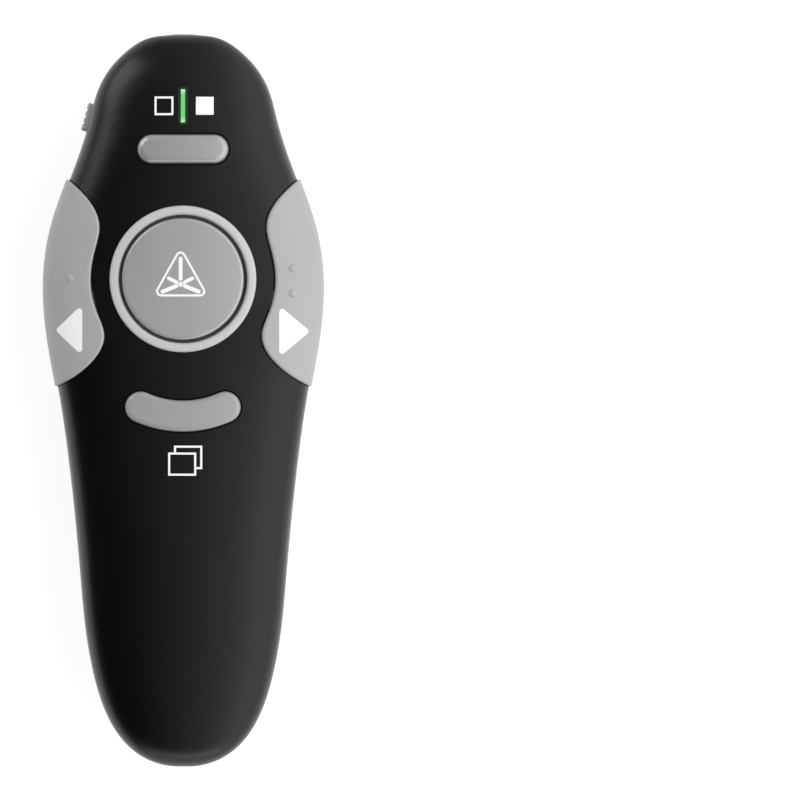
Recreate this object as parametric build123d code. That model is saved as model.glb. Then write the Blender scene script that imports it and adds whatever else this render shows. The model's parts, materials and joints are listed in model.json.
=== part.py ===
"""Wireless presentation clicker with a stowed USB receiver, in millimetres.

The clicker lies on its back with its face up. +Y points to the head, where the
laser leaves, +X is to the right of a person looking at the face, and z = 0 is the
surface that the flat land on its back rests on. The housing is a row of sections
along Y, lofted. Every shell, key and cover is cut from that one form, moved in or
out by a wall or a clearance.
"""
from build123d import *
import math
import os

# Stations along the length, each measured from the one before it, from the tail to the head
TAIL_TO_BAY = 10.5
SPRING_ROOM = 3.5
CELL_LENGTH = 44.5
PLATE_ROOM = 1.0
BAY_TO_BUTTON = 21.7
BUTTON_TO_SCREEN_KEY = 21.6
SCREEN_KEY_TO_LIGHT = 7.2
LIGHT_TO_HEAD = 12.0
BAY_LENGTH = SPRING_ROOM + CELL_LENGTH + PLATE_ROOM
BUTTON_TO_HEAD = BUTTON_TO_SCREEN_KEY + SCREEN_KEY_TO_LIGHT + LIGHT_TO_HEAD
LENGTH = TAIL_TO_BAY + BAY_LENGTH + BAY_TO_BUTTON + BUTTON_TO_HEAD

# Housing form
WIDTH = 46.0
FACE_RISE = 8.0  # face above the parting plane
BACK_DROP = 19.8  # deepest point of the hump below the parting plane, before the land is cut
PARTING = 19.0  # height of the parting plane above the rest land
# Form of a section's face and back: height of its shoulder and spread of its crown, as shares
FACE_FORM = (0.82, 0.78)
BACK_FORM = (0.69, 0.61)
CROWN_REACH = 1.6  # makes the middle of such a curve reach the full height
# Shares of the length from the head, of the half width, of the face rise and of the back drop
SECTIONS = (
    (0.0000, 0.07, 0.08, 0.03),
    (0.0033, 0.22, 0.21, 0.11),
    (0.0115, 0.33, 0.34, 0.19),
    (0.0240, 0.42, 0.47, 0.27),
    (0.0410, 0.51, 0.60, 0.35),
    (0.0760, 0.62, 0.76, 0.46),
    (0.1170, 0.68, 0.87, 0.57),
    (0.1580, 0.745, 0.94, 0.66),
    (0.1990, 0.825, 0.98, 0.77),
    (0.2400, 0.905, 1.00, 0.88),
    (0.2810, 0.965, 1.00, 0.95),
    (0.3520, 1.00, 1.00, 1.00),
    (0.4240, 0.965, 1.00, 0.995),
    (0.4860, 0.905, 1.00, 0.97),
    (0.5680, 0.84, 0.995, 0.92),
    (0.6500, 0.79, 0.985, 0.865),
    (0.7320, 0.75, 0.965, 0.80),
    (0.8120, 0.71, 0.925, 0.72),
    (0.8750, 0.65, 0.86, 0.645),
    (0.9160, 0.585, 0.785, 0.58),
    (0.9570, 0.47, 0.64, 0.48),
    (0.9780, 0.365, 0.51, 0.385),
    (0.9910, 0.255, 0.36, 0.27),
    (0.9975, 0.155, 0.22, 0.165),
    (1.0000, 0.05, 0.07, 0.05),
)
WALL = 1.6
FAR = 200.0  # longer than anything in the model, for cutting tools

# The same stations as coordinates, and what is measured from them
HEAD = LENGTH / 2
TAIL = -LENGTH / 2
BAY_TAIL = TAIL + TAIL_TO_BAY
CELL_Y = BAY_TAIL + SPRING_ROOM
BAY_HEAD = BAY_TAIL + BAY_LENGTH
BUTTON_Y = BAY_HEAD + BAY_TO_BUTTON
SCREEN_KEY_Y = BUTTON_Y + BUTTON_TO_SCREEN_KEY
LIGHT_Y = SCREEN_KEY_Y + SCREEN_KEY_TO_LIGHT
WINDOW_KEY_FROM_BUTTON = 22.8
WINDOW_KEY_Y = BUTTON_Y - WINDOW_KEY_FROM_BUTTON
KNOB_FROM_LIGHT = 1.9
KNOB_Y = LIGHT_Y - KNOB_FROM_LIGHT

# Clearances
FIT = 0.05  # between fixed pieces that fit into each other
KEY_GAP = 0.3  # round every key
RUN_GAP = 0.3  # between a sliding piece and what it passes
SEAM_GAP = 0.2  # between the cover and the rear housing

# Laser button and its ring
RING_RADIUS = 12.2
RING_WIDTH = 1.55
RING_DEPTH = 2.6
RING_PROUD = 0.45
RING_EDGE = 0.5  # radius of its rounded edges, as with the edges below
BUTTON_RADIUS = 10.1
BUTTON_PROUD = 0.9
BUTTON_EDGE = 0.5

# Keys on the face
SCREEN_KEY_LENGTH = 15.2
SCREEN_KEY_WIDTH = 4.9
SCREEN_KEY_EDGE = 1.2
WINDOW_KEY_CHORD = 14.0
WINDOW_KEY_BOW = 1.5
WINDOW_KEY_WIDTH = 5.2
WINDOW_KEY_EDGE = 0.8
KEY_PROUD = 0.5
KEY_TRAVEL = 0.5
FLANGE_WIDTH = 0.7
FLANGE_THICKNESS = 0.8
WINDOW_ARM_WIDTH = 6.0

# Side keys: the inner edge of the right one, measured from the button's centre
SIDE_KEY_EDGE = (
    (22.0, 20.0),
    (18.7, 16.5),
    (15.3, 13.0),
    (13.6, 9.0),
    (14.4, 4.6),
    (15.05, 0.4),
    (14.2, -5.0),
    (12.8, -9.6),
    (15.8, -14.7),
    (20.2, -17.6),
    (24.5, -19.7),
)
SIDE_KEY_THICKNESS = 1.4
SIDE_KEY_PROUD = 0.5
SIDE_KEY_ROUNDING = 0.4
SIDE_KEY_LIFT = 0.7  # above the parting plane
SIDE_POST_FROM_FLANK = 6.4
SIDE_POST_X = WIDTH / 2 - SIDE_POST_FROM_FLANK
SIDE_POST_FROM_BUTTON = 4.2
SIDE_POST_SIZE = 3.0
SIDE_TAB_LENGTH = 3.0
SIDE_TAB_REACH = 1.4
SIDE_TABS_FROM_BUTTON = (9.0, -9.4)

# Indicator light
LIGHT_WIDTH = 0.8
LIGHT_LENGTH = 5.5
LED_SIZE = (1.6, 3.2, 0.8)

# Circuit board and what stands on it
BOARD_UNDER = PARTING + 0.4
BOARD_THICKNESS = 1.0
BOARD_TOP = BOARD_UNDER + BOARD_THICKNESS
BOARD_INSET = 2.8
BOARD_FROM_HEAD = 7.5
BOARD_FROM_BAY = 2.0
TACT_SIZE = 4.5
TACT_HEIGHT = 1.9
PLUNGER_RADIUS = 1.2
PLUNGER_RISE = 0.9  # above the tact switch at rest
PLUNGER_SUNK = 0.6
TACT_BORE = 1.3
PLUNGER_TOP = BOARD_TOP + TACT_HEIGHT + PLUNGER_RISE
TACT_FROM_BOARD_END = 0.25
WINDOW_TACT_Y = BAY_HEAD + BOARD_FROM_BAY + TACT_FROM_BOARD_END + TACT_SIZE / 2
CHIP_SIZES = ((5.0, 5.0, 0.9), (3.9, 4.9, 1.2))
CHIPS_FROM_BUTTON = ((-8.4, -1.6), (8.6, -1.4))
CRYSTAL_SIZE = (3.2, 2.5, 0.9)
CRYSTAL_FROM_BUTTON = (-8.4, 4.6)
POST_RADIUS = 1.9
POST_X = 10.0
POSTS_FROM_BUTTON = (15.6, -5.6)
SCREW_RADIUS = 0.8
SCREW_HEAD_RADIUS = 1.5
SCREW_HEAD_HEIGHT = 1.0
BOARD_SCREW_LENGTH = 5.0

# Laser
LASER_Z = 15.6
LASER_RADIUS = 3.2
LASER_FROM_HEAD = 10.2
LASER_LENGTH = 13.5
LASER_BORE = 2.2
LENS_THICKNESS = 1.2
BEZEL_RADIUS = 2.9
BEZEL_BORE = 1.7
CRADLE_WIDTH = 8.0
CRADLE_THICKNESS = 1.4
CRADLES_FROM_FRONT = (2.0, 9.5)

# Power knob on the left flank
KNOB_Z = 16.3
KNOB_LENGTH = 4.8
KNOB_HEIGHT = 3.6
KNOB_PROUD = 1.0
KNOB_ROUNDING = 0.6
GRIP_GROOVES = 3
GRIP_PITCH = 1.1
GRIP_GROOVE_WIDTH = 0.35
GRIP_GROOVE_DEPTH = 0.2
KNOB_TRAVEL = 2.3
KNOB_TURN = 15.8  # degrees between the flank there and the length
KNOB_PLATE_THICKNESS = 0.8
KNOB_PLATE_OVERLAP = 0.6
LEVER_SIZE = 1.2
SWITCH_LENGTH = 6.6
SWITCH_DEPTH = 3.0
SWITCH_WALL = 0.5

# Battery cover
COVER_WALL = 1.6
COVER_RIM = 17.0  # height of the cover's edge along the flanks
SEAM_FROM_BAY = 12.0
SEAM_STRAIGHT = 4.0  # height up to which the seam runs straight
SEAM_SWEEP = 16.9  # how far the curved seam reaches towards the tail
SCOOP_LENGTH = 24.5
SCOOP_WIDTH = 14.0
SCOOP_NOSE = 11.2  # length of its rounded tail end
SCOOP_DEPTH = 1.3  # at the middle of its length
SCOOP_FROM_SEAM = 0.8
SCOOP_WALL = 1.3  # thickness of the cover behind the scoop
SCOOP_END = 1.4  # height of its tail end, where it runs out into the cover
RIB_COUNT = 4
RIB_PITCH = 1.5
RIB_WIDTH = 0.6
RIB_HEIGHT = 0.45
RIB_RADIUS = 7.0
RIBS_FROM_SEAM = 4.5

# Latch tongue on the cover
TONGUE_WIDTH = 9.0
TONGUE_THICKNESS = 1.3
TONGUE_REACH = 7.2
TONGUE_UNDER = 2.0  # height of the side that faces the back
TOOTH_HEIGHT = 1.0
TOOTH_LENGTH = 1.5
HINGE_RADIUS = 0.75
HINGE_GAP = 0.15
HINGE_FROM_SEAM = 2.6
HINGE_BLOCK = 1.6

# Tub under the cover
TUB_WALL = 1.2
TUB_FLOOR = 12.2
TUB_THICKNESS = 1.4
LIP_OVERLAP = 2.0
BULKHEAD_THICKNESS = 1.4
DECK_Z = 6.5
DECK_HALF_WIDTH = 11.5
DECK_OVER_CELL = 6.6  # how far the deck reaches over the bay
DECK_WALL = 1.2
POCKET_LENGTH = 4.5
POCKET_WIDTH = 6.2
POCKET_DEPTH = 4.2
POCKET_X = 6.3
POCKET_FROM_SEAM = 9.2

# Battery, size AAA, and its contacts
CELL_RADIUS = 5.25
CELL_NUB_RADIUS = 1.9
CELL_NUB_LENGTH = 0.8
CELL_END = 0.6
CELL_X = 3.5
CELL_Z = 14.4
CELL_GAP = 0.25
CONTACT_THICKNESS = 0.4
CONTACT_WIDTH = 7.0
TROUGH_WALL = 1.1

# USB receiver, stowed on its edge beside the cell
PLUG_WIDTH = 12.0
PLUG_THICKNESS = 4.5
PLUG_LENGTH = 12.1
PLUG_SHEET = 0.3
WINDOW_WIDTH = 2.1
WINDOW_LENGTH = 1.9
WINDOW_X = 2.85
WINDOW_FROM_TIP = 5.7
CAP_WIDTH = 13.8
CAP_LENGTH = 6.1
CAP_THICKNESS = 6.2
CAP_TEETH = 4
CAP_PANEL_WIDTH = 10.4
CAP_PANEL_LENGTH = 3.9
CAP_PANEL_DEPTH = 0.3
CARRIER_THICKNESS = 1.9
GOLD_WIDTHS = (1.0, 1.0, 1.0, 1.0)
GOLD_STARTS = (1.0, 2.0, 2.0, 1.0)  # the outer two touch first
GOLD_PITCH = 2.3
GOLD_LENGTH = 7.4
GOLD_THICKNESS = 0.2
RECEIVER_X = -6.6
RECEIVER_Z = 13.6
RECEIVER_FROM_BAY = 21.0
RECEIVER_GAP = 0.25

# Screw at the tail
TAIL_SCREW_FROM_TAIL = 6.5
TAIL_SCREW_HOLE = 2.1
TAIL_SCREW_HEAD = 1.9
TAIL_SCREW_SEAT = 3.0
TAIL_SCREW_LENGTH = 6.5
TAIL_BOSS_RADIUS = 2.6

SEAM_Y = BAY_HEAD + SEAM_FROM_BAY
RECEIVER_Y = BAY_TAIL + RECEIVER_FROM_BAY
TAIL_SCREW_Y = TAIL + TAIL_SCREW_FROM_TAIL
TUB_INSET = COVER_WALL + RUN_GAP


# Form helpers

def block(x_span, y_span, z_span):
    """A box between three pairs of coordinates."""
    size = [high - low for low, high in (x_span, y_span, z_span)]
    middle = [(high + low) / 2 for low, high in (x_span, y_span, z_span)]
    return Pos(*middle) * Box(*size)


def prism(sketch, low, high):
    """A flat shape carried from one height to another."""
    return extrude(Pos(0, 0, low) * sketch, high - low)


def rod(radius, y_low, y_high, x=0.0, z=0.0):
    """A cylinder along Y."""
    return Pos(x, (y_low + y_high) / 2, z) * Rot(90, 0, 0) * Cylinder(radius, y_high - y_low)


def upright(radius, low, high, x=0.0, y=0.0):
    """A cylinder along Z."""
    return Pos(x, y, (low + high) / 2) * Cylinder(radius, high - low)


def arch(half_width, height, form, y):
    """Control points of one side of a section, from the right flank over the crown to the left."""
    shoulder, spread = form
    flank = PARTING + shoulder * height
    crown = PARTING + (CROWN_REACH - shoulder / 2) * height
    right = [(half_width, y, PARTING), (half_width, y, flank), (spread * half_width, y, crown)]
    left = [(-x, y, z) for x, y, z in reversed(right)]
    return right + left


def section(y, half_width, face, back):
    """One closed section of the housing."""
    face_curve = Bezier(*arch(half_width, face, FACE_FORM, y))
    back_curve = Bezier(*reversed(arch(half_width, -back, BACK_FORM, y)))
    return Wire([face_curve, back_curve])


def moved_in(size, inset):
    """A section's size after its edge moves in, which leaves something at the very tips."""
    return max(size - inset, size * 0.6)


def housing(inset=0.0):
    """The outside of the whole clicker, moved in by inset, or out where it is negative."""
    half_length = LENGTH / 2 - inset
    wires = []
    for along, half_width, face, back in SECTIONS:
        wires.append(section(
            half_length * (1 - 2 * along),
            moved_in(half_width * WIDTH / 2, inset),
            moved_in(face * FACE_RISE, inset),
            moved_in(back * BACK_DROP, inset),
        ))
    return Part() + Solid.make_loft(wires)


def above(height):
    """All space above a height."""
    return block((-FAR, FAR), (-FAR, FAR), (height, FAR))


def below(height):
    """All space below a height."""
    return block((-FAR, FAR), (-FAR, FAR), (-FAR, height))


def between(low, high):
    """All space between two heights."""
    return block((-FAR, FAR), (-FAR, FAR), (low, high))


def cover_zone(shrink=0.0):
    """The space that the battery cover fills, up to its seam: straight, then a quarter ellipse."""
    seam = SEAM_Y - shrink
    rim = COVER_RIM - shrink
    straight = SEAM_STRAIGHT - shrink
    corner = seam - SEAM_SWEEP
    curve = EllipticalCenterArc((corner, straight), SEAM_SWEEP, rim - straight, 0, arc_size=90)
    outline = Polyline((corner, rim), (-FAR, rim), (-FAR, -FAR), (seam, -FAR), (seam, straight))
    profile = make_face([curve, outline])
    return extrude(Plane.YZ * profile, FAR, both=True)


# Face pieces

def side_key_plan(gap):
    """The right side key seen from the front, its inner edge moved outwards by gap."""
    edge = [(x + gap, BUTTON_Y + y) for x, y in SIDE_KEY_EDGE]
    outer = WIDTH
    curve = Spline(*edge)
    outline = Polyline(edge[-1], (outer, edge[-1][1]), (outer, edge[0][1]), edge[0])
    return make_face([curve, outline])


def screen_key_plan(grow=0.0):
    """The pill-shaped key above the button."""
    return Pos(0, SCREEN_KEY_Y) * SlotOverall(SCREEN_KEY_LENGTH + 2 * grow, SCREEN_KEY_WIDTH + 2 * grow)


def window_key_plan(grow=0.0):
    """The crescent key below the button, hollow towards it."""
    half = WINDOW_KEY_CHORD / 2
    middle = (0, WINDOW_KEY_Y)
    end_y = WINDOW_KEY_Y + WINDOW_KEY_BOW
    line = ThreePointArc((-half, end_y), middle, (half, end_y))
    return SlotArc(line, WINDOW_KEY_WIDTH + 2 * grow)


def front_shell():
    """The face of the housing, with a hole for each key and a boss for the tail screw."""
    shell = (housing() & above(PARTING)) - housing(WALL)
    boss = upright(TAIL_BOSS_RADIUS, PARTING, FAR, y=TAIL_SCREW_Y) & housing(WALL / 2)
    shell += boss
    shell -= upright(SCREW_RADIUS, -FAR, PARTING + TAIL_SCREW_LENGTH - TAIL_SCREW_SEAT, y=TAIL_SCREW_Y)
    shell -= upright(RING_RADIUS + FIT, 0, FAR, y=BUTTON_Y)
    shell -= prism(screen_key_plan(KEY_GAP), 0, FAR)
    shell -= prism(window_key_plan(KEY_GAP), 0, FAR)
    cut = prism(side_key_plan(0), 0, FAR)
    shell -= cut
    shell -= mirror(cut, Plane.YZ)
    shell -= Pos(0, LIGHT_Y) * Box(LIGHT_WIDTH, LIGHT_LENGTH, FAR)
    return shell


def button_ring():
    """The pale ring round the laser button."""
    bottom = PARTING + FACE_RISE - RING_DEPTH
    ring = upright(RING_RADIUS, bottom, FAR, y=BUTTON_Y) & housing(-RING_PROUD)
    return rounded_crown(ring - upright(RING_RADIUS - RING_WIDTH, 0, FAR, y=BUTTON_Y), RING_EDGE)


def rounded_crown(piece, radius):
    """A piece with the edges of its highest face rounded."""
    return fillet(piece.faces().sort_by(Axis.Z)[-1].edges(), radius)


def key_cap(plan, proud, edge):
    """The visible part of a key: its plan up to the housing moved out by proud, with its edge rounded."""
    return rounded_crown(prism(plan, PLUNGER_TOP, FAR) & housing(-proud), edge)


def laser_button():
    """The round button, with a flange that the ring holds down."""
    cap = key_cap(Pos(0, BUTTON_Y) * Circle(BUTTON_RADIUS), BUTTON_PROUD, BUTTON_EDGE)
    flange_top = PLUNGER_TOP + FLANGE_THICKNESS
    flange = upright(BUTTON_RADIUS + 2 * FLANGE_WIDTH, PLUNGER_TOP, flange_top, y=BUTTON_Y)
    hollow = upright(BUTTON_RADIUS - 2 * WALL, PLUNGER_TOP - 1, PLUNGER_TOP + WALL, y=BUTTON_Y)
    stem = upright(2 * PLUNGER_RADIUS, PLUNGER_TOP, PLUNGER_TOP + 2 * WALL, y=BUTTON_Y)
    return cap + flange - hollow + stem


def screen_key():
    """The pill key with its flange under the face."""
    cap = key_cap(screen_key_plan(), KEY_PROUD, SCREEN_KEY_EDGE)
    return cap + prism(screen_key_plan(FLANGE_WIDTH + KEY_GAP), PLUNGER_TOP, PLUNGER_TOP + FLANGE_THICKNESS)


def window_key():
    """The crescent key with its flange and the arm that reaches its switch."""
    cap = key_cap(window_key_plan(), KEY_PROUD, WINDOW_KEY_EDGE)
    flange = prism(window_key_plan(FLANGE_WIDTH + KEY_GAP), PLUNGER_TOP, PLUNGER_TOP + FLANGE_THICKNESS)
    half = WINDOW_ARM_WIDTH / 2
    reach = (WINDOW_KEY_Y, WINDOW_TACT_Y + PLUNGER_RADIUS + FLANGE_WIDTH)
    arm = block((-half, half), reach, (PLUNGER_TOP, PLUNGER_TOP + FLANGE_THICKNESS))
    return cap + flange + arm


def side_key():
    """The right side key: a curved plate with two tabs under the face and a post to its switch."""
    plan = prism(side_key_plan(KEY_GAP), PARTING + SIDE_KEY_LIFT, FAR)
    key = (plan & housing(-SIDE_KEY_PROUD)) - housing(SIDE_KEY_THICKNESS)
    outside = key.faces().sort_by(SortBy.AREA)[-1]
    key = fillet(outside.edges(), SIDE_KEY_ROUNDING)
    inner = housing(WALL + RUN_GAP)
    for from_button in SIDE_TABS_FROM_BUTTON:
        edge = min(SIDE_KEY_EDGE, key=lambda point: abs(point[1] - from_button))[0]
        y = BUTTON_Y + from_button
        span = (y - SIDE_TAB_LENGTH / 2, y + SIDE_TAB_LENGTH / 2)
        heel = block((edge + 2 * KEY_GAP, edge + 2 * KEY_GAP + SIDE_TAB_REACH), span, (PARTING, FAR))
        toe = block((edge - SIDE_TAB_REACH, edge + KEY_GAP + SIDE_TAB_REACH), span, (PARTING, FAR))
        key += ((heel & housing()) + (toe & inner)) - housing(WALL + RUN_GAP + FLANGE_THICKNESS)
    y = BUTTON_Y - SIDE_POST_FROM_BUTTON
    half = SIDE_POST_SIZE / 2
    post = block((SIDE_POST_X - half, SIDE_POST_X + half), (y - half, y + half), (PLUNGER_TOP, FAR))
    return key + (post & housing(SIDE_KEY_THICKNESS / 2))


def indicator_lens():
    """The clear bar that carries the light to the face."""
    half_width = LIGHT_WIDTH / 2
    half_length = LIGHT_LENGTH / 2
    bottom = BOARD_TOP + LED_SIZE[2] + RUN_GAP
    bar = block((-half_width, half_width), (LIGHT_Y - half_length, LIGHT_Y + half_length), (bottom, FAR))
    return bar & housing(-FIT)


# Circuit board

def tact_places():
    """The centre of each tact switch, by the name of its key."""
    side_y = BUTTON_Y - SIDE_POST_FROM_BUTTON
    return {
        "laser": (0, BUTTON_Y),
        "screen": (0, SCREEN_KEY_Y),
        "window": (0, WINDOW_TACT_Y),
        "back": (-SIDE_POST_X, side_y),
        "forward": (SIDE_POST_X, side_y),
    }


def post_places():
    """The centre of each post that carries the board."""
    return [(side * POST_X, BUTTON_Y + y) for side in (-1, 1) for y in POSTS_FROM_BUTTON]


def circuit_board():
    """The board, which follows the housing inside."""
    span = (BAY_HEAD + BOARD_FROM_BAY, HEAD - BOARD_FROM_HEAD)
    board = housing(BOARD_INSET) & block((-FAR, FAR), span, (BOARD_UNDER, BOARD_TOP))
    for x, y in post_places():
        board -= upright(SCREW_RADIUS + FIT, 0, FAR, x, y)
    return board


def tact_switches():
    """Five tact switches, each with a bore for its plunger."""
    bodies = []
    for x, y in tact_places().values():
        body = Pos(x, y, BOARD_TOP + TACT_HEIGHT / 2) * Box(TACT_SIZE, TACT_SIZE, TACT_HEIGHT)
        body = fillet(body.edges().filter_by(Axis.Z), TACT_SIZE / 8)
        depth = PLUNGER_SUNK + KEY_TRAVEL + RUN_GAP
        bodies.append(body - upright(TACT_BORE, BOARD_TOP + TACT_HEIGHT - depth, FAR, x, y))
    return bodies


def plunger(place):
    """The pin of one tact switch, which moves with its key."""
    x, y = place
    return upright(PLUNGER_RADIUS, BOARD_TOP + TACT_HEIGHT - PLUNGER_SUNK, PLUNGER_TOP, x, y)


def on_board(size, x, y):
    """A packaged chip on the board."""
    chip = Pos(x, y, BOARD_TOP + size[2] / 2) * Box(*size)
    return chamfer(chip.faces().sort_by(Axis.Z)[-1].edges(), size[2] / 4)


def radio_chips():
    """The radio chip and the memory beside it."""
    return [on_board(size, x, BUTTON_Y + y) for size, (x, y) in zip(CHIP_SIZES, CHIPS_FROM_BUTTON)]


def crystal_can():
    """The crystal that clocks the radio."""
    x, y = CRYSTAL_FROM_BUTTON
    return on_board(CRYSTAL_SIZE, x, BUTTON_Y + y)


def led_chip():
    """The chip under the light bar."""
    return on_board(LED_SIZE, 0, LIGHT_Y)


def pan_screw(x, y, seat, length, head_radius, up):
    """A pan-head screw. Its head lies on seat, and up is 1 where the shank points down."""
    head = upright(head_radius, 0, SCREW_HEAD_HEIGHT)
    head = fillet(head.edges().sort_by(Axis.Z)[-1], SCREW_HEAD_HEIGHT / 2)
    slot = head_radius / 3
    head -= Pos(0, 0, SCREW_HEAD_HEIGHT) * Box(2 * slot * 2, slot, SCREW_HEAD_HEIGHT)
    head -= Pos(0, 0, SCREW_HEAD_HEIGHT) * Box(slot, 2 * slot * 2, SCREW_HEAD_HEIGHT)
    screw = head + upright(SCREW_RADIUS, -length, 0)
    turn = Rot(0, 0, 0) if up > 0 else Rot(180, 0, 0)
    return Pos(x, y, seat) * turn * screw


def board_screws():
    """The four screws that hold the board on its posts."""
    return [pan_screw(x, y, BOARD_TOP, BOARD_SCREW_LENGTH, SCREW_HEAD_RADIUS, 1) for x, y in post_places()]


def housing_screw():
    """The screw at the tail, from the battery side into the face's boss."""
    seat = TUB_FLOOR + TAIL_SCREW_SEAT
    return pan_screw(0, TAIL_SCREW_Y, seat, TAIL_SCREW_LENGTH, TAIL_SCREW_HEAD, -1)


# Laser

def laser_front():
    """Where the barrel ends behind the bezel."""
    return HEAD - LASER_FROM_HEAD


def laser_barrel():
    """The brass barrel of the laser module, bored for its beam."""
    front = laser_front()
    barrel = rod(LASER_RADIUS, front - LASER_LENGTH, front, z=LASER_Z)
    barrel = chamfer(barrel.edges().sort_by(Axis.Y)[0], LASER_RADIUS / 6)
    barrel -= rod(LASER_BORE, front - LASER_LENGTH / 2, front + 1, z=LASER_Z)
    return barrel


def laser_lens():
    """The collimating lens in the barrel's mouth."""
    front = laser_front() - LENS_THICKNESS
    return rod(LASER_BORE, front - LENS_THICKNESS, front, z=LASER_Z)


def laser_bezel():
    """The black tube from the barrel to the head, cut off flush with the head."""
    front = laser_front()
    tube = rod(BEZEL_RADIUS, front, HEAD + 1, z=LASER_Z) & housing()
    return tube - rod(BEZEL_BORE, front - 1, HEAD + 1, z=LASER_Z)


# Power switch

def knob_frame():
    """The frame of the knob: x towards the tail along the flank, z out of the housing."""
    turn = math.radians(KNOB_TURN)
    along = (-math.sin(turn), -math.cos(turn), 0)
    outward = (-math.cos(turn), math.sin(turn), 0)
    return Plane(origin=(flank_x(KNOB_Y), KNOB_Y, KNOB_Z), x_dir=along, z_dir=outward)


def flank_x(y):
    """The left side of the housing at a station along its length."""
    along = (HEAD - y) / LENGTH
    for near, far in zip(SECTIONS, SECTIONS[1:]):
        if near[0] <= along <= far[0]:
            share = (along - near[0]) / (far[0] - near[0])
            return -WIDTH / 2 * (near[1] + share * (far[1] - near[1]))
    return 0.0


def at_knob(x_span, y_span, z_span):
    """A box in the knob's frame."""
    return knob_frame() * block(x_span, y_span, z_span)


def knob_slot():
    """The slot in the flank that the knob slides in."""
    half_length = KNOB_LENGTH / 2 + RUN_GAP
    half_height = KNOB_HEIGHT / 2 + RUN_GAP
    along = (-half_length, half_length + KNOB_TRAVEL)
    return at_knob(along, (-half_height, half_height), (-4 * WALL, 2 * WALL))


def knob_room():
    """The room for the knob's plate inside the wall."""
    half_length = KNOB_LENGTH / 2 + KNOB_PLATE_OVERLAP + RUN_GAP
    half_height = KNOB_HEIGHT / 2 + KNOB_PLATE_OVERLAP + RUN_GAP
    depth = knob_depth() + KNOB_PLATE_THICKNESS + RUN_GAP
    height = (-half_height, half_height)
    return at_knob((-half_length, half_length + KNOB_TRAVEL), height, (-depth, -knob_depth() + RUN_GAP))


def knob_depth():
    """How far inside the flank the knob's plate has its outer side."""
    return WALL + 2 * RUN_GAP


def power_knob():
    """The knob with its grip grooves and the plate that keeps it behind the wall."""
    half_length = KNOB_LENGTH / 2
    half_height = KNOB_HEIGHT / 2
    depth = knob_depth()
    grip = block((-half_length, half_length), (-half_height, half_height), (-depth, KNOB_PROUD))
    grip = fillet(grip.edges().filter_by(Axis.Z), KNOB_ROUNDING)
    grip = rounded_crown(grip, KNOB_ROUNDING / 2)
    for groove in range(GRIP_GROOVES):
        x = (groove - (GRIP_GROOVES - 1) / 2) * GRIP_PITCH
        grip -= Pos(x, 0, KNOB_PROUD) * Box(GRIP_GROOVE_WIDTH, FAR, 2 * GRIP_GROOVE_DEPTH)
    plate_length = half_length + KNOB_PLATE_OVERLAP
    plate_height = half_height + KNOB_PLATE_OVERLAP
    back = -depth - KNOB_PLATE_THICKNESS
    plate = block((-plate_length, plate_length), (-plate_height, plate_height), (back, -depth))
    return knob_frame() * (grip + plate)


def switch_span():
    """The depths at which the slide switch starts and ends."""
    front = knob_depth() + KNOB_PLATE_THICKNESS + RUN_GAP
    return -front - SWITCH_DEPTH, -front


def switch_lever():
    """The slide switch's lever, which the knob carries."""
    half = LEVER_SIZE / 2
    back, front = switch_span()
    return at_knob((-half, half), (-half, half), (front - SWITCH_WALL - LEVER_SIZE / 2, front + RUN_GAP))


def slide_switch():
    """The slide switch that hangs under the board, with the window its lever moves in."""
    back, front = switch_span()
    middle = KNOB_TRAVEL / 2
    half = SWITCH_LENGTH / 2
    side = 1 if knob_frame().y_dir.Z > 0 else -1
    heights = sorted((-side * KNOB_HEIGHT / 2, side * (BOARD_UNDER - KNOB_Z)))
    body = at_knob((middle - half, middle + half), heights, (back, front))
    room = LEVER_SIZE / 2 + RUN_GAP
    depth = SWITCH_WALL + LEVER_SIZE
    return body - at_knob((-room, room + KNOB_TRAVEL), (-room, room), (front - depth, front + 1))


# Battery and contacts

def battery_jacket():
    """The cell's printed sleeve with its steel can inside."""
    end = CELL_Y + CELL_LENGTH - CELL_NUB_LENGTH - CELL_END
    return rod(CELL_RADIUS, CELL_Y + CELL_END, end, CELL_X, CELL_Z)


def battery_terminals():
    """The bare ends of the cell: a flat one at the tail and the button end at the head."""
    end = CELL_Y + CELL_LENGTH - CELL_NUB_LENGTH
    lid_radius = CELL_RADIUS - CELL_END / 2
    flat_end = rod(lid_radius, CELL_Y, CELL_Y + CELL_END, CELL_X, CELL_Z)
    lid = rod(lid_radius, end - CELL_END, end, CELL_X, CELL_Z)
    nub = rod(CELL_NUB_RADIUS, end, end + CELL_NUB_LENGTH, CELL_X, CELL_Z)
    return [flat_end, lid + nub]


def contact_strip(points):
    """A bent strip of sheet, drawn as a centre line in the YZ plane."""
    line = Polyline(*points)
    profile = offset(line, CONTACT_THICKNESS / 2, side=Side.BOTH, kind=Kind.ARC)
    half = CONTACT_WIDTH / 2
    strip = extrude(Plane.YZ * make_face(profile.edges()), half, both=True)
    return Pos(CELL_X, 0, 0) * strip


def negative_contact():
    """The leaf spring at the tail: a plate on the wall and a leaf that reaches the cell."""
    wall = BAY_TAIL + CONTACT_THICKNESS / 2
    reach = CELL_Y - CONTACT_THICKNESS / 2
    rise = CELL_RADIUS * 0.7
    return contact_strip((
        (wall, CELL_Z - rise / 2),
        (wall, CELL_Z + rise),
        (reach, CELL_Z + rise / 6),
        (reach - SPRING_ROOM / 3, CELL_Z - rise / 2),
    ))


def positive_contact():
    """The plate at the head that the cell's button end touches."""
    rise = CELL_RADIUS * 0.7
    half = CONTACT_WIDTH / 2
    face = CELL_Y + CELL_LENGTH
    return block((CELL_X - half, CELL_X + half), (face, BAY_HEAD), (CELL_Z - rise, CELL_Z + rise))


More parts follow.
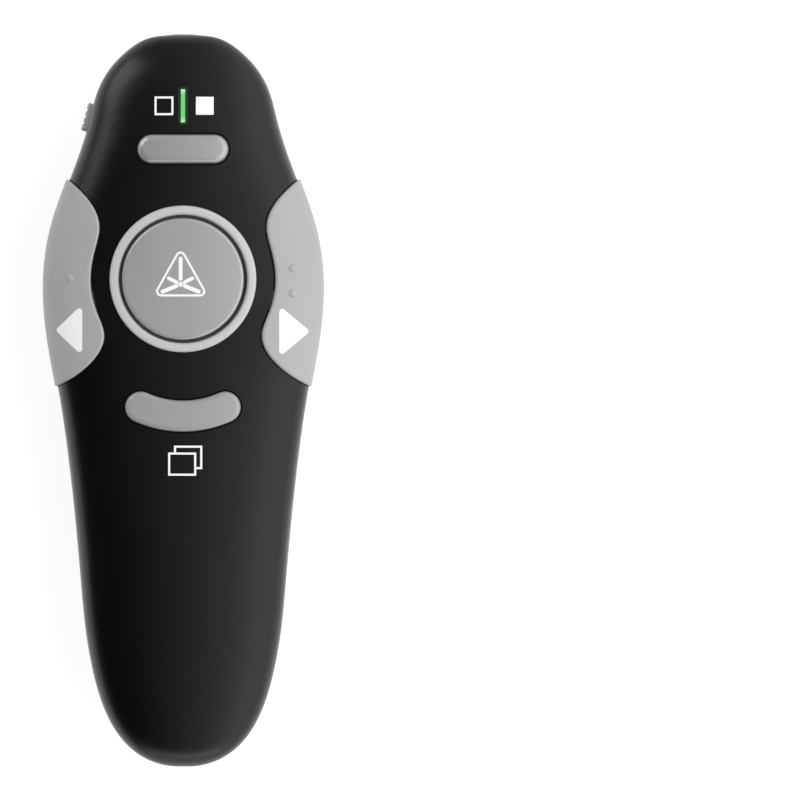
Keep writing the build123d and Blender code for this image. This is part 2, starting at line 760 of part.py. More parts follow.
def cell_channel(grow=0.0):
    """The channel that the cell lies in, open towards the back."""
    radius = CELL_RADIUS + CELL_GAP + grow
    span = (BAY_TAIL - grow, BAY_HEAD + grow)
    round_part = rod(radius, *span, CELL_X, CELL_Z)
    return round_part + block((CELL_X - radius, CELL_X + radius), span, (0, CELL_Z))


# Receiver, made with its plug along +Y from the tip at the origin, its width along X

def stow(shape):
    """Stands a receiver piece on its edge in the tub, with its plug towards the tail."""
    return Pos(RECEIVER_X, RECEIVER_Y, RECEIVER_Z) * Rot(0, 90, 0) * shape


def centred(width, y_span, thickness):
    """A box centred on the receiver's axis."""
    return block((-width / 2, width / 2), y_span, (-thickness / 2, thickness / 2))


def receiver_shell():
    """The folded steel shell of the plug with two windows in each broad side."""
    shell = centred(PLUG_WIDTH, (0, PLUG_LENGTH), PLUG_THICKNESS)
    shell = fillet(shell.edges().filter_by(Axis.Y), PLUG_SHEET * 1.5)
    shell -= centred(PLUG_WIDTH - 2 * PLUG_SHEET, (-1, FAR), PLUG_THICKNESS - 2 * PLUG_SHEET)
    for side in (-1, 1):
        shell -= Pos(side * WINDOW_X, WINDOW_FROM_TIP) * Box(WINDOW_WIDTH, WINDOW_LENGTH, FAR)
    return stow(shell)


def receiver_cap():
    """The moulded cap: toothed sides and a framed panel on each broad side."""
    span = (PLUG_LENGTH, PLUG_LENGTH + CAP_LENGTH)
    cap = centred(CAP_WIDTH, span, CAP_THICKNESS)
    cap = fillet(cap.edges().filter_by(Axis.Y), CAP_THICKNESS / 8)
    pitch = CAP_LENGTH / (CAP_TEETH + 1)
    for tooth in range(CAP_TEETH):
        y = PLUG_LENGTH + pitch * (tooth + 1)
        for side in (-1, 1):
            groove = Pos(side * CAP_WIDTH / 2, y) * Rot(0, 0, 45) * Box(pitch / 3, pitch / 3, FAR)
            cap -= groove
    middle = PLUG_LENGTH + CAP_LENGTH / 2
    panel = Box(CAP_PANEL_WIDTH, CAP_PANEL_LENGTH, CAP_PANEL_DEPTH * 2)
    for side in (-1, 1):
        cap -= Pos(0, middle, side * CAP_THICKNESS / 2) * panel
    board_span = (PLUG_LENGTH - PLUG_SHEET, PLUG_LENGTH + CAP_LENGTH / 2)
    seat = centred(PLUG_WIDTH - 2 * PLUG_SHEET, board_span, CARRIER_THICKNESS)
    return stow(cap - Pos(0, 0, carrier_bottom() + CARRIER_THICKNESS / 2) * seat)


def carrier_bottom():
    """The side of the contact carrier that lies on the plug's shell."""
    return -PLUG_THICKNESS / 2 + PLUG_SHEET


def receiver_tongue():
    """The insulating tongue that carries the contacts inside the plug."""
    half = PLUG_WIDTH / 2 - PLUG_SHEET
    bottom = carrier_bottom()
    tongue = block((-half, half), (PLUG_SHEET, PLUG_LENGTH), (bottom, bottom + CARRIER_THICKNESS))
    return stow(chamfer(tongue.edges().filter_by(Axis.X).sort_by(Axis.Y)[0:2], PLUG_SHEET))


def receiver_contacts():
    """Four gold strips on the tongue, the outer two longer."""
    top = carrier_bottom() + CARRIER_THICKNESS
    strips = []
    for place, width in enumerate(GOLD_WIDTHS):
        x = (place - (len(GOLD_WIDTHS) - 1) / 2) * GOLD_PITCH
        start = GOLD_STARTS[place]
        sides = (x - width / 2, x + width / 2)
        strip = block(sides, (start, start + GOLD_LENGTH), (top, top + GOLD_THICKNESS))
        strips.append(stow(strip))
    return strips


def receiver_board():
    """The small board in the cap, in line with the tongue."""
    half = PLUG_WIDTH / 2 - PLUG_SHEET
    bottom = carrier_bottom()
    span = (PLUG_LENGTH, PLUG_LENGTH + CAP_LENGTH / 2)
    return stow(block((-half, half), span, (bottom, bottom + CARRIER_THICKNESS)))


def receiver_room(grow=0.0):
    """The pocket that the receiver stands in, stepped from cap to plug."""
    gap = RECEIVER_GAP + grow
    plug_half = PLUG_THICKNESS / 2 + gap
    cap_half = CAP_THICKNESS / 2 + gap
    plug_end = RECEIVER_Y + PLUG_LENGTH - gap
    cap_end = RECEIVER_Y + PLUG_LENGTH + CAP_LENGTH + gap
    plug = block(
        (RECEIVER_X - plug_half, RECEIVER_X + plug_half),
        (RECEIVER_Y - gap, plug_end + 1),
        (0, RECEIVER_Z + PLUG_WIDTH / 2 + gap),
    )
    cap = block(
        (RECEIVER_X - cap_half, RECEIVER_X + cap_half),
        (plug_end, cap_end),
        (0, RECEIVER_Z + CAP_WIDTH / 2 + gap),
    )
    return plug + cap


# Rear housing

def tub():
    """The wall that stands inside the cover, the floor that carries cell and receiver, and the deck."""
    ring = housing(TUB_INSET) - housing(TUB_INSET + TUB_WALL)
    tail_part = block((-FAR, FAR), (-FAR, SEAM_Y), (TUB_FLOOR, PARTING))
    wall = ring & tail_part
    seam_part = block((-FAR, FAR), (SEAM_Y - SEAM_SWEEP, SEAM_Y + 2 * WALL), (0, PARTING))
    lip = (ring & seam_part) - cover_zone(LIP_OVERLAP)
    band = (housing() - housing(TUB_INSET + TUB_WALL)) & between(COVER_RIM, PARTING)
    band &= block((-FAR, FAR), (-FAR, SEAM_Y), (-FAR, FAR))
    middle = TUB_INSET + TUB_WALL / 2
    floor = housing(middle) & block(
        (-FAR, FAR), (-FAR, SEAM_Y + BULKHEAD_THICKNESS), (TUB_FLOOR, TUB_FLOOR + TUB_THICKNESS))
    return wall + lip + band + floor


def deck():
    """The raised deck beside the seam, a box open underneath with two pockets let in."""
    head = SEAM_Y
    tail = BAY_HEAD - DECK_OVER_CELL
    half = DECK_HALF_WIDTH
    under = TUB_FLOOR + TUB_THICKNESS / 2
    solid = block((-half, half), (tail, head + BULKHEAD_THICKNESS), (DECK_Z, under))
    solid -= block((-half + DECK_WALL, half - DECK_WALL), (tail - 1, head), (DECK_Z + DECK_WALL, FAR))
    for side in (-1, 1):
        x = side * POCKET_X
        y = SEAM_Y - POCKET_FROM_SEAM
        box = Box(POCKET_WIDTH + 2 * DECK_WALL, POCKET_LENGTH + 2 * DECK_WALL, POCKET_DEPTH + DECK_WALL)
        solid += Pos(x, y, DECK_Z + (POCKET_DEPTH + DECK_WALL) / 2) * box
    return solid


def deck_pockets():
    """The two pockets in the deck."""
    middle = SEAM_Y - POCKET_FROM_SEAM
    along = (middle - POCKET_LENGTH / 2, middle + POCKET_LENGTH / 2)
    heights = (DECK_Z - DECK_WALL, DECK_Z + POCKET_DEPTH)
    pockets = []
    for side in (-1, 1):
        left = side * POCKET_X - POCKET_WIDTH / 2
        pockets.append(block((left, left + POCKET_WIDTH), along, heights))
    return pockets


def board_posts():
    """The four posts under the board."""
    posts = Part()
    for x, y in post_places():
        posts += upright(POST_RADIUS, 0, BOARD_UNDER, x, y)
    return posts & housing(WALL / 2) & above(WALL / 2)


def laser_cradles():
    """Two ribs that the laser barrel lies in."""
    half = CRADLE_WIDTH / 2
    ribs = Part()
    for from_front in CRADLES_FROM_FRONT:
        y = laser_front() - from_front
        ribs += block((-half, half), (y - CRADLE_THICKNESS, y), (0, LASER_Z))
    return (ribs & housing(WALL / 2)) - rod(LASER_RADIUS, 0, HEAD, z=LASER_Z)


def latch_room():
    """The way of the latch tongue through the bulkhead."""
    half = TONGUE_WIDTH / 2 + RUN_GAP
    along = (SEAM_Y - LIP_OVERLAP - RUN_GAP, SEAM_Y + TONGUE_REACH + WALL)
    heights = (TONGUE_UNDER - TOOTH_HEIGHT - FIT, TONGUE_UNDER + TONGUE_THICKNESS + 2 * TOOTH_HEIGHT)
    return block((-half, half), along, heights)


def latch_catch():
    """The rib inside the back that the tongue's tooth hooks behind."""
    half = TONGUE_WIDTH / 2 + RUN_GAP
    end = SEAM_Y + TONGUE_REACH - TOOTH_LENGTH - RUN_GAP
    rib = block((-half, half), (end - BULKHEAD_THICKNESS, end), (0, TONGUE_UNDER - RUN_GAP))
    return rib & housing(WALL / 2)


def rear_housing():
    """The back of the housing, open where the cover goes, with the tub for cell and receiver."""
    skin = ((housing() & below(PARTING)) - housing(WALL)) & above(0)
    shell = skin - cover_zone()
    shell += tub()
    shell += deck() & housing(TUB_INSET)
    bulkhead = housing(WALL / 2) & block(
        (-FAR, FAR), (SEAM_Y, SEAM_Y + BULKHEAD_THICKNESS), (0, TUB_FLOOR + TUB_THICKNESS))
    shell += bulkhead & above(0)
    shell += board_posts() + laser_cradles()
    shell += cell_channel(TROUGH_WALL) & above(TUB_FLOOR) & housing(TUB_INSET)
    shell += receiver_room(TROUGH_WALL) & above(TUB_FLOOR) & housing(TUB_INSET)
    shell += upright(TAIL_BOSS_RADIUS, TUB_FLOOR, PARTING, y=TAIL_SCREW_Y) & housing(TUB_INSET)
    shell -= cell_channel()
    shell += deck_bridge()
    shell -= receiver_room()
    for pocket in deck_pockets():
        shell -= pocket
    shell -= latch_room()
    shell += latch_catch() & above(0)
    shell -= upright(TAIL_SCREW_HOLE, -FAR, TUB_FLOOR + TAIL_SCREW_SEAT, y=TAIL_SCREW_Y)
    shell -= upright(SCREW_RADIUS, -FAR, FAR, y=TAIL_SCREW_Y)
    for x, y in post_places():
        shell -= upright(SCREW_RADIUS, BOARD_UNDER - BOARD_SCREW_LENGTH, FAR, x, y)
    shell -= rod(BEZEL_RADIUS, laser_front(), FAR, z=LASER_Z)
    return shell - knob_slot() - knob_room()


def deck_bridge():
    """The part of the deck that lies over the end of the cell."""
    tail = BAY_HEAD - DECK_OVER_CELL
    half = DECK_HALF_WIDTH
    plate = block((-half, half), (tail, BAY_HEAD + TROUGH_WALL), (DECK_Z, DECK_Z + DECK_WALL))
    return plate & housing(TUB_INSET)


# Battery cover

def scoop(grow=0.0):
    """The thumb hollow at the cover's head end: rounded at the tail, and a wide arc in side view."""
    head = SEAM_Y - SCOOP_FROM_SEAM
    tail = head - SCOOP_LENGTH
    half = SCOOP_WIDTH / 2 + grow
    nose_end = tail + SCOOP_NOSE
    nose = ThreePointArc((-half, nose_end), (0, tail - grow), (half, nose_end))
    sides = Polyline((half, nose_end), (half, head + grow), (-half, head + grow), (-half, nose_end))
    plan = prism(make_face([nose, sides]), -FAR, FAR)
    tail_floor = SCOOP_END + grow
    middle_floor = SCOOP_DEPTH + SCOOP_END / 2 + grow
    head_floor = SCOOP_DEPTH / 2 + grow
    floor_arc = ThreePointArc((tail, tail_floor), ((tail + head) / 2, middle_floor), (head, head_floor))
    corners = ((FAR, head_floor), (FAR, -FAR), (-FAR, -FAR), (-FAR, tail_floor))
    under = Polyline((head, head_floor), *corners, (tail, tail_floor))
    return plan & extrude(Plane.YZ * make_face([floor_arc, under]), FAR, both=True)


def scoop_ribs():
    """Curved grip ribs on the floor of the scoop."""
    hollow = scoop()
    layer = hollow - Pos(0, 0, -RIB_HEIGHT) * hollow
    ribs = Part()
    wide = 2 * RIB_RADIUS
    wedge = Polygon((0, 0), (wide, wide), (-wide, wide), align=None)
    ring = Circle(RIB_RADIUS + RIB_WIDTH / 2) - Circle(RIB_RADIUS - RIB_WIDTH / 2)
    for step in range(RIB_COUNT):
        y = SEAM_Y - RIBS_FROM_SEAM - RIB_RADIUS - step * RIB_PITCH
        ribs += prism(Pos(0, y) * (ring & wedge), -FAR, FAR) & layer
    return ribs & above(0)


def hinge_y():
    """Where the latch tongue bends."""
    return SEAM_Y - HINGE_FROM_SEAM


def hinge_z():
    """The height of the tongue's bending line."""
    return TONGUE_UNDER + TONGUE_THICKNESS / 2


def battery_cover():
    """The cover, its scoop, and the two cheeks that hold the latch tongue."""
    form = housing() & cover_zone(SEAM_GAP) & above(0)
    lip_end = SEAM_Y - LIP_OVERLAP - RUN_GAP
    behind_lip = block((-FAR, FAR), (-FAR, lip_end), (-FAR, FAR))
    inside = housing(COVER_WALL) - (scoop(SCOOP_WALL) & behind_lip)
    cover = form - inside
    cover -= scoop()
    cover += scoop_ribs()
    half = TONGUE_WIDTH / 2
    block_span = (hinge_y() - HINGE_BLOCK - HINGE_RADIUS, hinge_y())
    heel = block((-half, half), block_span, (0, hinge_z() + HINGE_RADIUS + HINGE_GAP))
    cover += (heel & housing(WALL / 2)) - scoop()
    pivot = Pos(0, hinge_y(), hinge_z()) * Rot(0, 90, 0) * Cylinder(HINGE_RADIUS + HINGE_GAP, FAR)
    cover -= pivot & block((-half - 1, half + 1), (-FAR, FAR), (hinge_z() - HINGE_RADIUS, FAR))
    return cover


def cover_latch():
    """The springy tongue with the tooth that hooks into the housing."""
    half = TONGUE_WIDTH / 2
    end = SEAM_Y + TONGUE_REACH
    top = TONGUE_UNDER + TONGUE_THICKNESS
    tongue = block((-half, half), (hinge_y(), end), (TONGUE_UNDER, top))
    tooth = Polyline(
        (end - TOOTH_LENGTH, TONGUE_UNDER),
        (end - TOOTH_LENGTH, TONGUE_UNDER - TOOTH_HEIGHT),
        (end - TOOTH_LENGTH / 2, TONGUE_UNDER - TOOTH_HEIGHT),
        (end, TONGUE_UNDER),
        close=True,
    )
    tongue += extrude(Plane.YZ * make_face(tooth.edges()), half, both=True)
    return tongue + Pos(0, hinge_y(), hinge_z()) * Rot(0, 90, 0) * Cylinder(HINGE_RADIUS, TONGUE_WIDTH)


def pieces():
    """Every piece of the clicker by the name of its node."""
    right_key = side_key()
    made = {
        "front_shell": front_shell(),
        "rear_housing": rear_housing(),
        "battery_cover": battery_cover(),
        "cover_latch": cover_latch(),
        "button_ring": button_ring(),
        "laser_button": laser_button(),
        "screen_key": screen_key(),
        "window_key": window_key(),
        "forward_key": right_key,
        "back_key": mirror(right_key, Plane.YZ),
        "power_knob": power_knob(),
        "switch_lever": switch_lever(),
        "slide_switch": slide_switch(),
        "indicator_lens": indicator_lens(),
        "led_chip": led_chip(),
        "circuit_board": circuit_board(),
        "tact_switches": tact_switches(),
        "radio_chips": radio_chips(),
        "crystal_can": crystal_can(),
        "board_screws": board_screws(),
        "housing_screw": housing_screw(),
        "laser_barrel": laser_barrel(),
        "laser_lens": laser_lens(),
        "laser_bezel": laser_bezel(),
        "battery_jacket": battery_jacket(),
        "battery_terminals": battery_terminals(),
        "negative_contact": negative_contact(),
        "positive_contact": positive_contact(),
        "receiver_shell": receiver_shell(),
        "receiver_cap": receiver_cap(),
        "receiver_tongue": receiver_tongue(),
        "receiver_contacts": receiver_contacts(),
        "receiver_board": receiver_board(),
    }
    for key, place in tact_places().items():
        made[f"{key}_plunger"] = plunger(place)
    return made


def write_parts():
    """Writes one file for each node."""
    os.makedirs("parts", exist_ok=True)
    for name, shape in pieces().items():
        solids = shape if isinstance(shape, list) else [shape]
        export_step(Compound(children=list(solids)) if len(solids) > 1 else solids[0], f"parts/{name}.step")


write_parts()
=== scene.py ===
"""Dresses the CAD frame of a wireless presentation clicker: finishes, printed marks, light and camera.

Everything is in metres, in the frame of the CAD: +Y points to the head, +Z out of the
face, and z = 0 is the surface that the clicker rests on.
"""
from __future__ import annotations

import contextlib
import functools
import json
import logging
import math
from dataclasses import dataclass, field
from enum import Enum
from typing import Any, Iterable, Iterator, Sequence

import bpy
from mathutils import Matrix, Vector

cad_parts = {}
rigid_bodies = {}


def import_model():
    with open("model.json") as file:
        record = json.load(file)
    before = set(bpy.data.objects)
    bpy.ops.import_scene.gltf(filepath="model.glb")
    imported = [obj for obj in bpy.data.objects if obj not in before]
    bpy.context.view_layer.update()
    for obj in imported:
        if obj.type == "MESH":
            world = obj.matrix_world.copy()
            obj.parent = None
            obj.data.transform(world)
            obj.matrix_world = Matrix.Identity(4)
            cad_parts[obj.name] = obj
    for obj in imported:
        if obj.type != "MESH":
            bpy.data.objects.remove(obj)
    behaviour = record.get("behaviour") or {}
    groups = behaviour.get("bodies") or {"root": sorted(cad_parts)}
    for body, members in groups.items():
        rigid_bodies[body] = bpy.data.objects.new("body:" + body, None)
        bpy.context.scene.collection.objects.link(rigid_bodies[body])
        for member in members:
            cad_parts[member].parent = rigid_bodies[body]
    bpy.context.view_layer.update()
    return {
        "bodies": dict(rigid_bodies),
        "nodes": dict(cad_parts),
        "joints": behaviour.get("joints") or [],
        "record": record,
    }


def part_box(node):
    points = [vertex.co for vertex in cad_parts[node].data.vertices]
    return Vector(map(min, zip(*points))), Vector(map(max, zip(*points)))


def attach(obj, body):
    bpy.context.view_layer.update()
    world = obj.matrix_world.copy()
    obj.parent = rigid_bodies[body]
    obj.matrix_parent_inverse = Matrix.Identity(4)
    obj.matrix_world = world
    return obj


log = logging.getLogger("clicker")

Nodes = dict[str, bpy.types.Object]
Colour = tuple[float, float, float]
Place = tuple[float, float, float]
Point = tuple[float, float]
Span = tuple[float, float]

MM = 0.001
BLACK = (0.0, 0.0, 0.0)

RIGHT = Vector((1, 0, 0))
UP = Vector((0, 0, 1))
ABOVE_FACE = 40 * MM  # a height that clears the face
BESIDE = 60 * MM  # a distance from the middle that clears both flanks
HELD_OFF = Matrix.Translation(UP * 3 * MM)  # how a mark is held off a side that it is pressed on

GLOSS_DRIFT = 0.1  # how far the roughness of a smooth finish drifts
THIN_FILM = 0.03 * MM  # THIN_FILM = 0.03 * MM # thickness of the painted glow and of the painted shade in the stamped cuts, which hardly stand out
MISSED = 0.01 * MM  # a point that the press moves by less has met nothing
ARC_STEPS = 8  # straight pieces in a rounded corner
LETTER_STEPS = 4  # straight pieces in a curve of a letter
DISC_SIDES = 32  # sides of a round spot
END_ROUND = 0.98  # radius at a line's end, as a share of half its width


# Shader maths

class Value:
    """A shader socket that can be written in an arithmetic expression."""

    def __init__(self, graph: Graph, socket: bpy.types.NodeSocket) -> None:
        """Wraps an output socket of a graph."""
        self.graph = graph
        self.socket = socket

    def _join(self, operation: str, first: Any, second: Any, clamp: bool = False) -> Value:
        """Adds one Math node and returns its result."""
        settings = {"operation": operation, "use_clamp": clamp}
        return self.graph.node("ShaderNodeMath", settings, {0: first, 1: second})

    def __add__(self, other: Any) -> Value:
        """Sum."""
        return self._join("ADD", self, other)

    __radd__ = __add__

    def __sub__(self, other: Any) -> Value:
        """Difference."""
        return self._join("SUBTRACT", self, other)

    def __rsub__(self, other: Any) -> Value:
        """Difference with the operands the other way round."""
        return self._join("SUBTRACT", other, self)

    def __mul__(self, other: Any) -> Value:
        """Product."""
        return self._join("MULTIPLY", self, other)

    __rmul__ = __mul__

    def __truediv__(self, other: Any) -> Value:
        """Quotient."""
        return self._join("DIVIDE", self, other)

    def __pow__(self, other: Any) -> Value:
        """Power."""
        return self._join("POWER", self, other)

    def __gt__(self, other: Any) -> Value:
        """1 where the value is greater, and 0 elsewhere."""
        return self._join("GREATER_THAN", self, other)

    def clamped(self) -> Value:
        """The value held between 0 and 1."""
        return self._join("ADD", self, 0.0, clamp=True)


class Graph:
    """A node tree whose maths is written as Python expressions."""

    def __init__(self, tree: bpy.types.NodeTree) -> None:
        """Wraps the tree of a material or of the world."""
        self.tree = tree

    def node(
        self,
        kind: str,
        settings: dict[str, Any] | None = None,
        inputs: dict[int | str, Any] | None = None,
        output: int | str = 0,
    ) -> Value:
        """Adds a node.

        Args:
            kind: the node's type, such as ShaderNodeMath.
            settings: properties of the node, which are set first.
            inputs: values or links by socket.
            output: the output socket that is returned.

        Returns:
            The chosen output.
        """
        made = self.tree.nodes.new(kind)
        for key, value in (settings or {}).items():
            setattr(made, key, value)
        for key, value in (inputs or {}).items():
            self.feed(made.inputs[key], value)
        return Value(self, made.outputs[output])

    def feed(self, socket: bpy.types.NodeSocket, value: Any) -> None:
        """Gives an input socket what it works with.

        Args:
            socket: the input.
            value: a Value, which is linked, or a plain number, vector or colour, which is set.
        """
        if isinstance(value, Value):
            self.tree.links.new(value.socket, socket)
        elif socket.type == "RGBA":
            socket.default_value = (*value, 1.0)
        else:
            socket.default_value = value

    def ramp(self, factor: Value, low: float, high: float) -> Value:
        """Takes low to 0 and high to 1, held between them."""
        return self.node("ShaderNodeMapRange", {"clamp": True}, {0: factor, 1: low, 2: high})

    def blend(self, factor: Any, first: Any, second: Any) -> Value:
        """Mixes two colours."""
        sockets = {0: factor, 6: first, 7: second}
        return self.node("ShaderNodeMix", {"data_type": "RGBA"}, sockets, output=2)

    def axis(self, vector: Value, name: str) -> Value:
        """The X, Y or Z of a vector."""
        return self.node("ShaderNodeSeparateXYZ", inputs={0: vector}, output=name)

    def seen(self, *kinds: str) -> Value:
        """Tells some kinds of ray from the others.

        Args:
            kinds: the kinds, such as Camera or Glossy.

        Returns:
            1 for rays of those kinds and 0 for others.
        """
        total: Any = 0.0
        for kind in kinds:
            total = self.node("ShaderNodeLightPath", output=f"Is {kind} Ray") + total
        return total.clamped()


def toned(colour: Colour, share: float) -> Colour:
    """A colour times a share: darker below 1 and paler above it."""
    return tuple(channel * share for channel in colour)


class Coat(Graph):
    """The node tree of one material, with its Principled shader."""

    def __init__(self, name: str) -> None:
        """Makes an empty material with a Principled shader."""
        self.material = bpy.data.materials.new(f"{name}_finish")
        self.material.use_nodes = True
        super().__init__(self.material.node_tree)
        self.shader = self.tree.nodes["Principled BSDF"]

    def place(self) -> Value:
        """The point on the surface in the frame of the CAD."""
        return self.node("ShaderNodeTexCoord", output="Object")

    def noise(self, size: float, detail: float = 2.0, stretch: Place = (1.0, 1.0, 1.0)) -> Value:
        """Noise from 0 to 1.

        Args:
            size: width of its features, in metres.
            detail: how many finer layers it has.
            stretch: how much denser it is along each axis.

        Returns:
            The noise.
        """
        placed = self.node("ShaderNodeMapping", inputs={"Vector": self.place(), "Scale": stretch})
        inputs = {"Vector": placed, "Scale": 1.0 / size, "Detail": detail}
        return self.node("ShaderNodeTexNoise", inputs=inputs)

    def cells(self, size: float, distance: str = "EUCLIDEAN") -> Value:
        """Distance to the nearest of many scattered points, in sizes of a cell."""
        inputs = {"Vector": self.place(), "Scale": 1.0 / size}
        return self.node("ShaderNodeTexVoronoi", {"distance": distance}, inputs)

    def shades(self, colour: Colour, low: float, high: float, tone: Value) -> Value:
        """A colour from low to high times itself, as a tone goes from 0 to 1."""
        return self.blend(tone, toned(colour, low), toned(colour, high))

    def gloss(self, mean: float, *drifts: tuple[float, Value]) -> None:
        """Sets a roughness that drifts about its mean.

        Args:
            mean: the mean roughness.
            drifts: how far it drifts in all, and the noise that it drifts with.
        """
        rough: Any = mean
        for span, noise in drifts:
            rough = rough + span * (noise - 0.5)
        self.set("Roughness", rough.clamped())

    def bump(self, height: Value, depth: float, strength: float = 1.0) -> None:
        """Feeds a bump of that depth, in metres, to the shader's normal."""
        inputs = {"Height": height, "Distance": depth, "Strength": strength}
        self.set("Normal", self.node("ShaderNodeBump", inputs=inputs))

    def set(self, name: str, value: Any) -> None:
        """Sets or links one of the shader's sockets."""
        self.feed(self.shader.inputs[name], value)


# Finishes

@dataclass(frozen=True)
class Finish:
    """What a piece is finished in.

    Attributes:
        name: the material's name.
        colour: its own colour.
        roughness: its mean roughness.
    """

    name: str
    colour: Colour
    roughness: float

    def build(self) -> bpy.types.Material:
        """Makes the material.

        Returns:
            The material.
        """
        coat = Coat(self.name)
        self.dress(coat)
        return coat.material

    def dress(self, coat: Coat) -> None:
        """Sets what this kind of finish needs on the shader."""
        raise NotImplementedError


@dataclass(frozen=True)
class Moulded(Finish):
    """Moulded plastic with the fine pitted texture of a spark-eroded tool.

    Attributes:
        grain: width of the pits, in metres.
        depth: depth of the pits, in metres.
        relief: strength of the bump, less than 1 for pits with soft rims.
        fuzz, fuzz_size: depth and width of the roughness among the pits, as shares of a pit's.
        specular: strength of its surface reflection.
        flake: share of metal flake in it, as in silver paint.
        drift: how far the colour drifts over the piece, as a share.
        cloud_size, dust_size: width of its large and of its small patches, in metres.
        cloud_share: how much of the colour's drift goes with the large patches.
        handled, dusty: how far the roughness drifts with the large and with the small patches.
    """

    grain: float = 0.22 * MM
    depth: float = 0.008 * MM
    relief: float = 0.6
    fuzz: float = 0.35
    fuzz_size: float = 0.6
    specular: float = 0.5
    flake: float = 0.0
    drift: float = 0.03
    cloud_size: float = 14 * MM
    dust_size: float = 0.6 * MM
    cloud_share: float = 0.7
    handled: float = 0.1
    dusty: float = 0.04

    def dress(self, coat: Coat) -> None:
        """Lets colour and gloss drift in two sizes of patches, and pits the surface."""
        cloud = coat.noise(self.cloud_size, detail=3.0)
        dust = coat.noise(self.dust_size)
        tone = (cloud * self.cloud_share + dust * (1 - self.cloud_share)).clamped()
        coat.set("Base Color", self.tint(coat, tone))
        coat.gloss(self.roughness, (self.handled, cloud), (self.dusty, dust))
        coat.set("Specular IOR Level", self.specular)
        coat.set("Metallic", self.flake)
        fuzz = coat.noise(self.grain * self.fuzz_size, detail=1.0)
        coat.bump(coat.cells(self.grain) + self.fuzz * fuzz, self.depth, self.relief)

    def tint(self, coat: Coat, tone: Value) -> Value:
        """The colour over the piece, drifting with a tone from 0 to 1."""
        return coat.shades(self.colour, 1 - self.drift, 1 + self.drift, tone)


@dataclass(frozen=True)
class SprayedKey(Moulded):
    """A moulded key with satin silver paint on its cap, and none on the flange that holds it in; the
    colour of the bare flange is also painted shade in the gap round the key.

    Attributes:
        bare: colour of the plastic where there is no paint, which is also the painted shade in the gap
            round the key.
        paint_end: height at which the paint ends, between the flange and the face.
    """

    bare: Colour = (0.004, 0.004, 0.004)
    paint_end: float = 24.4 * MM

    def tint(self, coat: Coat, tone: Value) -> Value:
        """The paint over the cap, and bare plastic below it, whose colour also paints the shade in the
        gap.
        """
        # below the paint edge: bare plastic, whose colour is also painted shade in the gap round the
        # key
        painted = coat.axis(coat.place(), "Z") > self.paint_end
        return coat.blend(painted, self.bare, super().tint(coat, tone))


@dataclass(frozen=True)
class Metal(Finish):
    """Bare metal with fine marks along one axis.

    Attributes:
        along: density of the marks along X, Y and Z; a small number makes them long that way.
        depth: depth of the marks, in metres.
        mark_size, cloud_size: width of a mark and of a dull patch, in metres.
        dullest: brightness of the dullest patch, as a share.
        mark_drift, cloud_drift: how far the roughness drifts with the marks and the patches.
    """

    along: Place = (1.0, 0.06, 1.0)
    depth: float = 0.004 * MM
    mark_size: float = 0.12 * MM
    cloud_size: float = 4 * MM
    dullest: float = 0.82
    mark_drift: float = 0.12
    cloud_drift: float = 0.08

    def dress(self, coat: Coat) -> None:
        """Gives bare metal its marks and its dull patches."""
        marks = coat.noise(self.mark_size, detail=3.0, stretch=self.along)
        cloud = coat.noise(self.cloud_size)
        coat.set("Metallic", 1.0)
        coat.set("Base Color", coat.shades(self.colour, self.dullest, 1.0, cloud))
        coat.gloss(self.roughness, (self.mark_drift, marks), (self.cloud_drift, cloud))
        coat.bump(marks, self.depth)


@dataclass(frozen=True)
class Ink(Finish):
    """Pad-printed ink, slightly thin at the scale of the plastic's grain.

    Attributes:
        speck, depth: width and depth of a thin speck, in metres.
        thin: brightness of the thinnest speck, as a share.
        thin_span: the noise at which the ink is thinnest, and at which it is whole.
    """

    speck: float = 0.25 * MM
    depth: float = 0.004 * MM
    thin: float = 0.93
    thin_span: Span = (0.3, 0.6)

    def dress(self, coat: Coat) -> None:
        """Lays ink that is thin in specks."""
        specks = coat.noise(self.speck)
        whole = coat.ramp(specks, *self.thin_span)
        coat.set("Base Color", coat.shades(self.colour, self.thin, 1.0, whole))
        coat.gloss(self.roughness, (GLOSS_DRIFT, specks))
        coat.bump(specks, self.depth)


@dataclass(frozen=True)
class LightPipe(Finish):
    """Tinted light pipe that glows, with painted light that makes it paler towards both ends of its
    bar, and painted shade that makes it dark along its sides.

    Attributes:
        middle: station of its middle along Y, in metres.
        reach: distance from the middle to the ends.
        half_width: distance from its middle line, at X = 0, to its sides.
        ends, sides: the painted light at the ends, and the painted shade along the sides.
        end_span, side_span: where the painted light and the painted shade turn, as squares of the
            shares of the way there.
        cloud_size: width of its patches, in metres.
        cloud_share: how much of the tint goes with the patches.
        glow: strength of its own light.
        lacquer: weight of its clear coat.
    """

    middle: float
    reach: float
    half_width: float
    # painted light: the colour at the ends of the bar
    ends: Colour = (0.46, 0.78, 0.44)
    # painted shade: the colour along the sides of the bar
    sides: Colour = (0.01, 0.10, 0.02)
    end_span: Span = (0.45, 1.0)
    side_span: Span = (0.5, 0.95)
    cloud_size: float = 0.8 * MM
    cloud_share: float = 0.2
    glow: float = 0.35
    lacquer: float = 0.3

    def dress(self, coat: Coat) -> None:
        """Tints the bar, paints light towards its ends and shade along its sides, and lets it glow."""
        along = (coat.axis(coat.place(), "Y") - self.middle) / self.reach
        across = coat.axis(coat.place(), "X") / self.half_width
        cloud = coat.noise(self.cloud_size)
        # painted light: the bar turns paler towards both ends
        pale = coat.ramp(along * along, *self.end_span)
        tone = (pale * (1 - self.cloud_share) + cloud * self.cloud_share).clamped()
        core = coat.blend(tone, self.colour, self.ends)
        # painted shade: the bar turns dark along both sides
        tint = coat.blend(coat.ramp(across * across, *self.side_span), core, self.sides)
        coat.set("Base Color", tint)
        coat.set("Emission Color", tint)
        coat.set("Emission Strength", self.glow)
        coat.gloss(self.roughness, (GLOSS_DRIFT, cloud))
        coat.set("Coat Weight", self.lacquer)


